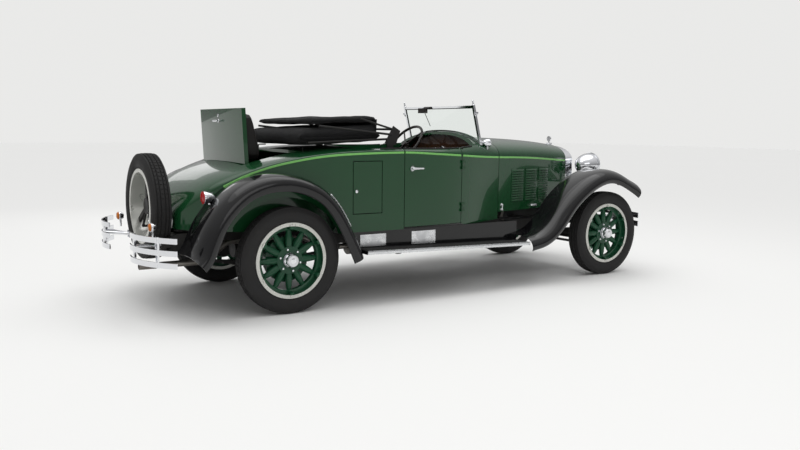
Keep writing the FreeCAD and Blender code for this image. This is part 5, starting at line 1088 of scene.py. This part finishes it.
shutters = bmesh.new()
BLADES = 29
WINDOW_HALF, WINDOW_LOW, WINDOW_SHOULDER, WINDOW_RISE = 0.258, 0.606, 1.064, 0.086
for blade in range(BLADES):
    y = -WINDOW_HALF + 0.008 + (2 * WINDOW_HALF - 0.016) * blade / (BLADES - 1)
    top = WINDOW_SHOULDER + WINDOW_RISE * math.sqrt(max(1 - (y / WINDOW_HALF) ** 2, 0))
    x = spot(3.3195, 0, 0).x
    block(shutters, (x - 0.0005, y - 0.0045, WINDOW_LOW), (x + 0.0095, y + 0.0045, top), 0.002)
new_piece("radiator_shutters", shutters, frame_paint)
print("dials:", len(DIALS), "shutters:", BLADES)

# %% [markdown]
# ## Cushions
# A sprung seat cushion is a crowned shape, tight over its edge and hollow between its pleats.
# Each starts as a rounded block a little smaller than the space that the CAD part keeps for it.
# Voxel remeshing gives it even faces, Cloth with inner pressure swells it like a stuffed cover,
# and the pleats and the piping come after that.


# %% Define the cushions
EVEN_FACE, PRESSURE, SWELLING_FRAMES = 0.011, 4, 20
PLAIN_EDGE, PLEAT_FADE, PLEAT_WIDTH = 0.055, 0.03, 0.16
PIPING_LEVEL, PIPING_RADIUS, PIPING_POINTS = 0.80, 0.0045, 120


def soft_block(name, size, crown, taper):
    """A rounded block on its base, with a crowned top and a tapered end."""
    shape = bmesh.new()
    bmesh.ops.create_cube(shape, size=2.0)
    bmesh.ops.subdivide_edges(shape, edges=shape.edges[:], cuts=9, use_grid_fill=True)
    for vert in shape.verts:
        u, v, w = vert.co
        power = 9
        fit = (abs(u) ** power + abs(v) ** power + abs(w) ** power) ** (1 / power)
        u, v, w = u / fit, v / fit, w / fit
        bulge = crown * max(w, 0) * (1 - u * u) * (1 - v * v)
        narrow = 1 + (taper - 1) * (u + 1) / 2
        vert.co = Vector((u * size[0] / 2, v * size[1] / 2,
                          (w + 1) * size[2] / 2 * narrow + bulge))
    return placed(name, plain_mesh(name, shape, leather))


def settle(thing, cap):
    """Remesh a piece and swell it by cloth pressure, moving no point further than the cap."""
    remesh = thing.modifiers.new("even faces", "REMESH")
    remesh.mode = "VOXEL"
    remesh.voxel_size = EVEN_FACE
    mesh = applied(thing)
    thing.data = mesh
    cloth = thing.modifiers.new("stuffing", "CLOTH")
    cloth.settings.quality = 4
    cloth.settings.use_pressure = True
    cloth.settings.uniform_pressure_force = PRESSURE
    cloth.settings.effector_weights.gravity = 0
    cloth.collision_settings.use_collision = False
    for number in range(1, SWELLING_FRAMES + 1):
        scene.frame_set(number)
    swollen = applied(thing)
    for vert, goal in zip(mesh.vertices, swollen.vertices):
        move = goal.co - vert.co
        vert.co += move * min(1.0, cap / max(move.length, 1e-6))
    bpy.data.meshes.remove(swollen)
    scene.frame_set(1)
    return thing


def finish_cushion(thing, size, pleats, depth, matrix, body, node):
    """Sew the pleats, add piping, and put the cushion in its place."""
    fine = thing.modifiers.new("finer", "SUBSURF")
    fine.levels = fine.render_levels = 1
    mesh = applied(thing)
    mesh.update()
    pitch = size[1] / pleats
    normals = [vert.normal.copy() for vert in mesh.vertices]
    for vert, normal in zip(mesh.vertices, normals):
        x, y, z = vert.co
        away = abs((y / pitch + 0.5) % 1 - 0.5) * pitch
        inside = min(1, max(0, (size[0] / 2 - PLAIN_EDGE - abs(x)) / PLEAT_FADE))
        inside *= min(1, max(0, (size[1] / 2 - PLAIN_EDGE - abs(y)) / PLEAT_FADE))
        if normal.z > 0.3:
            vert.co.z -= depth * inside * math.exp(-(away / (pitch * PLEAT_WIDTH)) ** 2)
        vert.co.z = max(vert.co.z, 0.0)
        vert.co += normal * 0.0015 * noise.noise(Vector((x, y, z)) * 9)
    mesh.update()
    thing.data = mesh
    tree = BVHTree.FromPolygons([vert.co for vert in mesh.vertices],
                                [face.vertices for face in mesh.polygons])
    level = size[2] * PIPING_LEVEL
    ring = []
    for step in range(PIPING_POINTS):
        angle = 2 * math.pi * step / PIPING_POINTS
        aim = Vector((math.cos(angle) * size[0], math.sin(angle) * size[1], 0))
        place, *_ = tree.ray_cast(Vector((0, 0, level)) + aim, -aim.normalized())
        if place:
            ring.append(place)
    cord = bmesh.new()
    if len(ring) > 100:
        tube(cord, ring + ring[:1], PIPING_RADIUS, 8)
    piping = plain_mesh(thing.name + "_piping", cord, leather)
    for part in (mesh, piping):
        part.transform(matrix)
    mesh.shade_smooth()
    edge = dress(thing.name + "_piping", piping, body, 60)
    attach(thing, body)
    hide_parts(node)
    print(thing.name, "has", len(mesh.vertices), "points and", len(edge.data.vertices), "in piping")


# %% Upholster the seats
def moved_and_leaned(place, angle, turn):
    """Stand a cushion up by a turn, lean it about Y and move it."""
    return Matrix.Translation(place) @ Matrix.Rotation(angle, 4, "Y") @ Matrix(turn)


BACK_TURN = ((0, 0, 1, 0.003), (0, 1, 0, 0), (-1, 0, 0, 0.221), (0, 0, 0, 1))
LID_TURN = ((0, 0, 1, 0.0015), (0, 1, 0, 0), (1, 0, 0, 0.214), (0, 0, 0, 1))
SEAT_PLACE, RUMBLE_PLACE = spot(1.304, 0, 0.7425), spot(0.075, 0, 0.7185)
BACK_MATRIX = moved_and_leaned(spot(0.898, 0, 0.760), math.radians(-14), BACK_TURN)
LID_MATRIX = moved_and_leaned(spot(-0.1895, 0, 1.0887), LID_LEAN, LID_TURN)
for name, size, crown, taper, cap, pleats, depth, matrix, body, node in (
        ("seat_cushion", (0.500, 1.108, 0.140), 0.010, 1.0, 0.014, 14, 0.009,
         Matrix.Translation(SEAT_PLACE), "car_body", "front_seat_cushion"),
        ("seat_back", (0.430, 1.148, 0.130), 0.008, 1.0, 0.014, 14, 0.009, BACK_MATRIX,
         "car_body", "front_seat_back"),
        ("rumble_cushion", (0.436, 0.985, 0.112), 0.008, 1.0, 0.012, 12, 0.008,
         Matrix.Translation(RUMBLE_PLACE), "car_body", "rumble_seat_cushion"),
        ("rumble_back", (0.362, 0.826, 0.128), 0.006, 0.50, 0.010, 10, 0.007, LID_MATRIX,
         "rumble_lid", "rumble_seat_back")):
    cushion = settle(soft_block(name, size, crown, taper), cap)
    finish_cushion(cushion, size, pleats, depth, matrix, body, node)

# %% [markdown]
# ## The folded top
# The top is one sheet of lined cloth. Folded down, it wraps round its bows in layers: the thick
# roll below, the thin one above. In the side view the sheet follows one continuous line, which is
# swept across the car and creased by smooth noise, so the folds show at both ends.

# %% Fold the top
FOLD_LINE = [(0.850, 1.318), (0.600, 1.318), (0.330, 1.308), (0.262, 1.312), (0.258, 1.334),
             (0.330, 1.346), (0.600, 1.356), (0.840, 1.362), (0.892, 1.350), (0.902, 1.318),
             (0.888, 1.290), (0.840, 1.276), (0.600, 1.262), (0.300, 1.247), (0.215, 1.252),
             (0.188, 1.290), (0.192, 1.332), (0.235, 1.362), (0.330, 1.376), (0.600, 1.394),
             (0.820, 1.402), (0.868, 1.412), (0.860, 1.430), (0.820, 1.432), (0.600, 1.424),
             (0.360, 1.412), (0.312, 1.420), (0.308, 1.440), (0.340, 1.452), (0.600, 1.470),
             (0.800, 1.478), (0.872, 1.472)]
fold_path = smooth_line([(x + REAR_AXLE, 0, z) for x, z in FOLD_LINE], 260)
HALF_TOP, UPPER_INSET, ACROSS, CLOTH_THICKNESS = 0.545, 0.030, 90, 0.004
HEM_START, HEM_CLOSED = 0.84, 0.97
FRONT_TURN = max(range(len(fold_path) // 2, len(fold_path) - 30),
                 key=lambda number: fold_path[number].x)


def roll_middle(number, x):
    """Height of the middle of the lower or the upper roll."""
    station = x - REAR_AXLE
    if number < FRONT_TURN:
        return 1.312 + 0.020 * (station - 0.5)
    return 1.440 + 0.045 * (station - 0.6)


top_shape = bmesh.new()
columns = []
for number, point in enumerate(fold_path):
    along = heading_at(fold_path, number)
    normal = Vector((-along.z, 0, along.x))
    share = number / (len(fold_path) - 1)
    half = HALF_TOP - (UPPER_INSET if number > FRONT_TURN else 0)
    row = []
    for k in range(ACROSS + 1):
        v = 2 * k / ACROSS - 1
        slack = noise.noise(Vector((point.x * 5, v * 1.8, share * 11))) * 0.0060
        slack += noise.noise(Vector((point.x * 14, v * 4, share * 23))) * 0.0026
        sag = -0.007 * (1 - v * v) * (1 if number > FRONT_TURN else 0.3)
        place = point + normal * slack + Vector((0, v * half, sag))
        hem = min(1, max(0, (abs(v) - HEM_START) / (1 - HEM_START)))
        closing = 1 - math.sqrt(max(1 - hem * hem, 0))
        middle = roll_middle(number, place.x)
        place.z += (middle - place.z) * closing * HEM_CLOSED
        row.append(top_shape.verts.new(place))
    columns.append(row)
skin(top_shape, columns, caps=False, closed=False)
folded = new_piece("folded_cloth", top_shape, top_cloth, smooth=180)
lining = folded.modifiers.new("thickness", "SOLIDIFY")
lining.thickness = CLOTH_THICKNESS
lining.offset = 0
folded.data = applied(folded)
folded.data.shade_smooth()
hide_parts("folded_top")

# %% [markdown]
# ## The floor
# A wide plane, pale enough to meet the backdrop and matt enough to keep a soft shadow.

# %% Lay the floor
floor_mesh = bpy.data.meshes.new("studio_floor")
WIDE = 60
floor_mesh.from_pydata([(-WIDE, -WIDE, 0), (WIDE, -WIDE, 0), (WIDE, WIDE, 0), (-WIDE, WIDE, 0)],
                       [], [(0, 1, 2, 3)])
floor_paint = finish("studio_floor", (0.86, 0.86, 0.85), (0.84, 0.84, 0.83), 0.7, 0.8,
                     drift_scale=0.15)
floor_mesh.materials.append(floor_paint)
placed("studio_floor", floor_mesh)
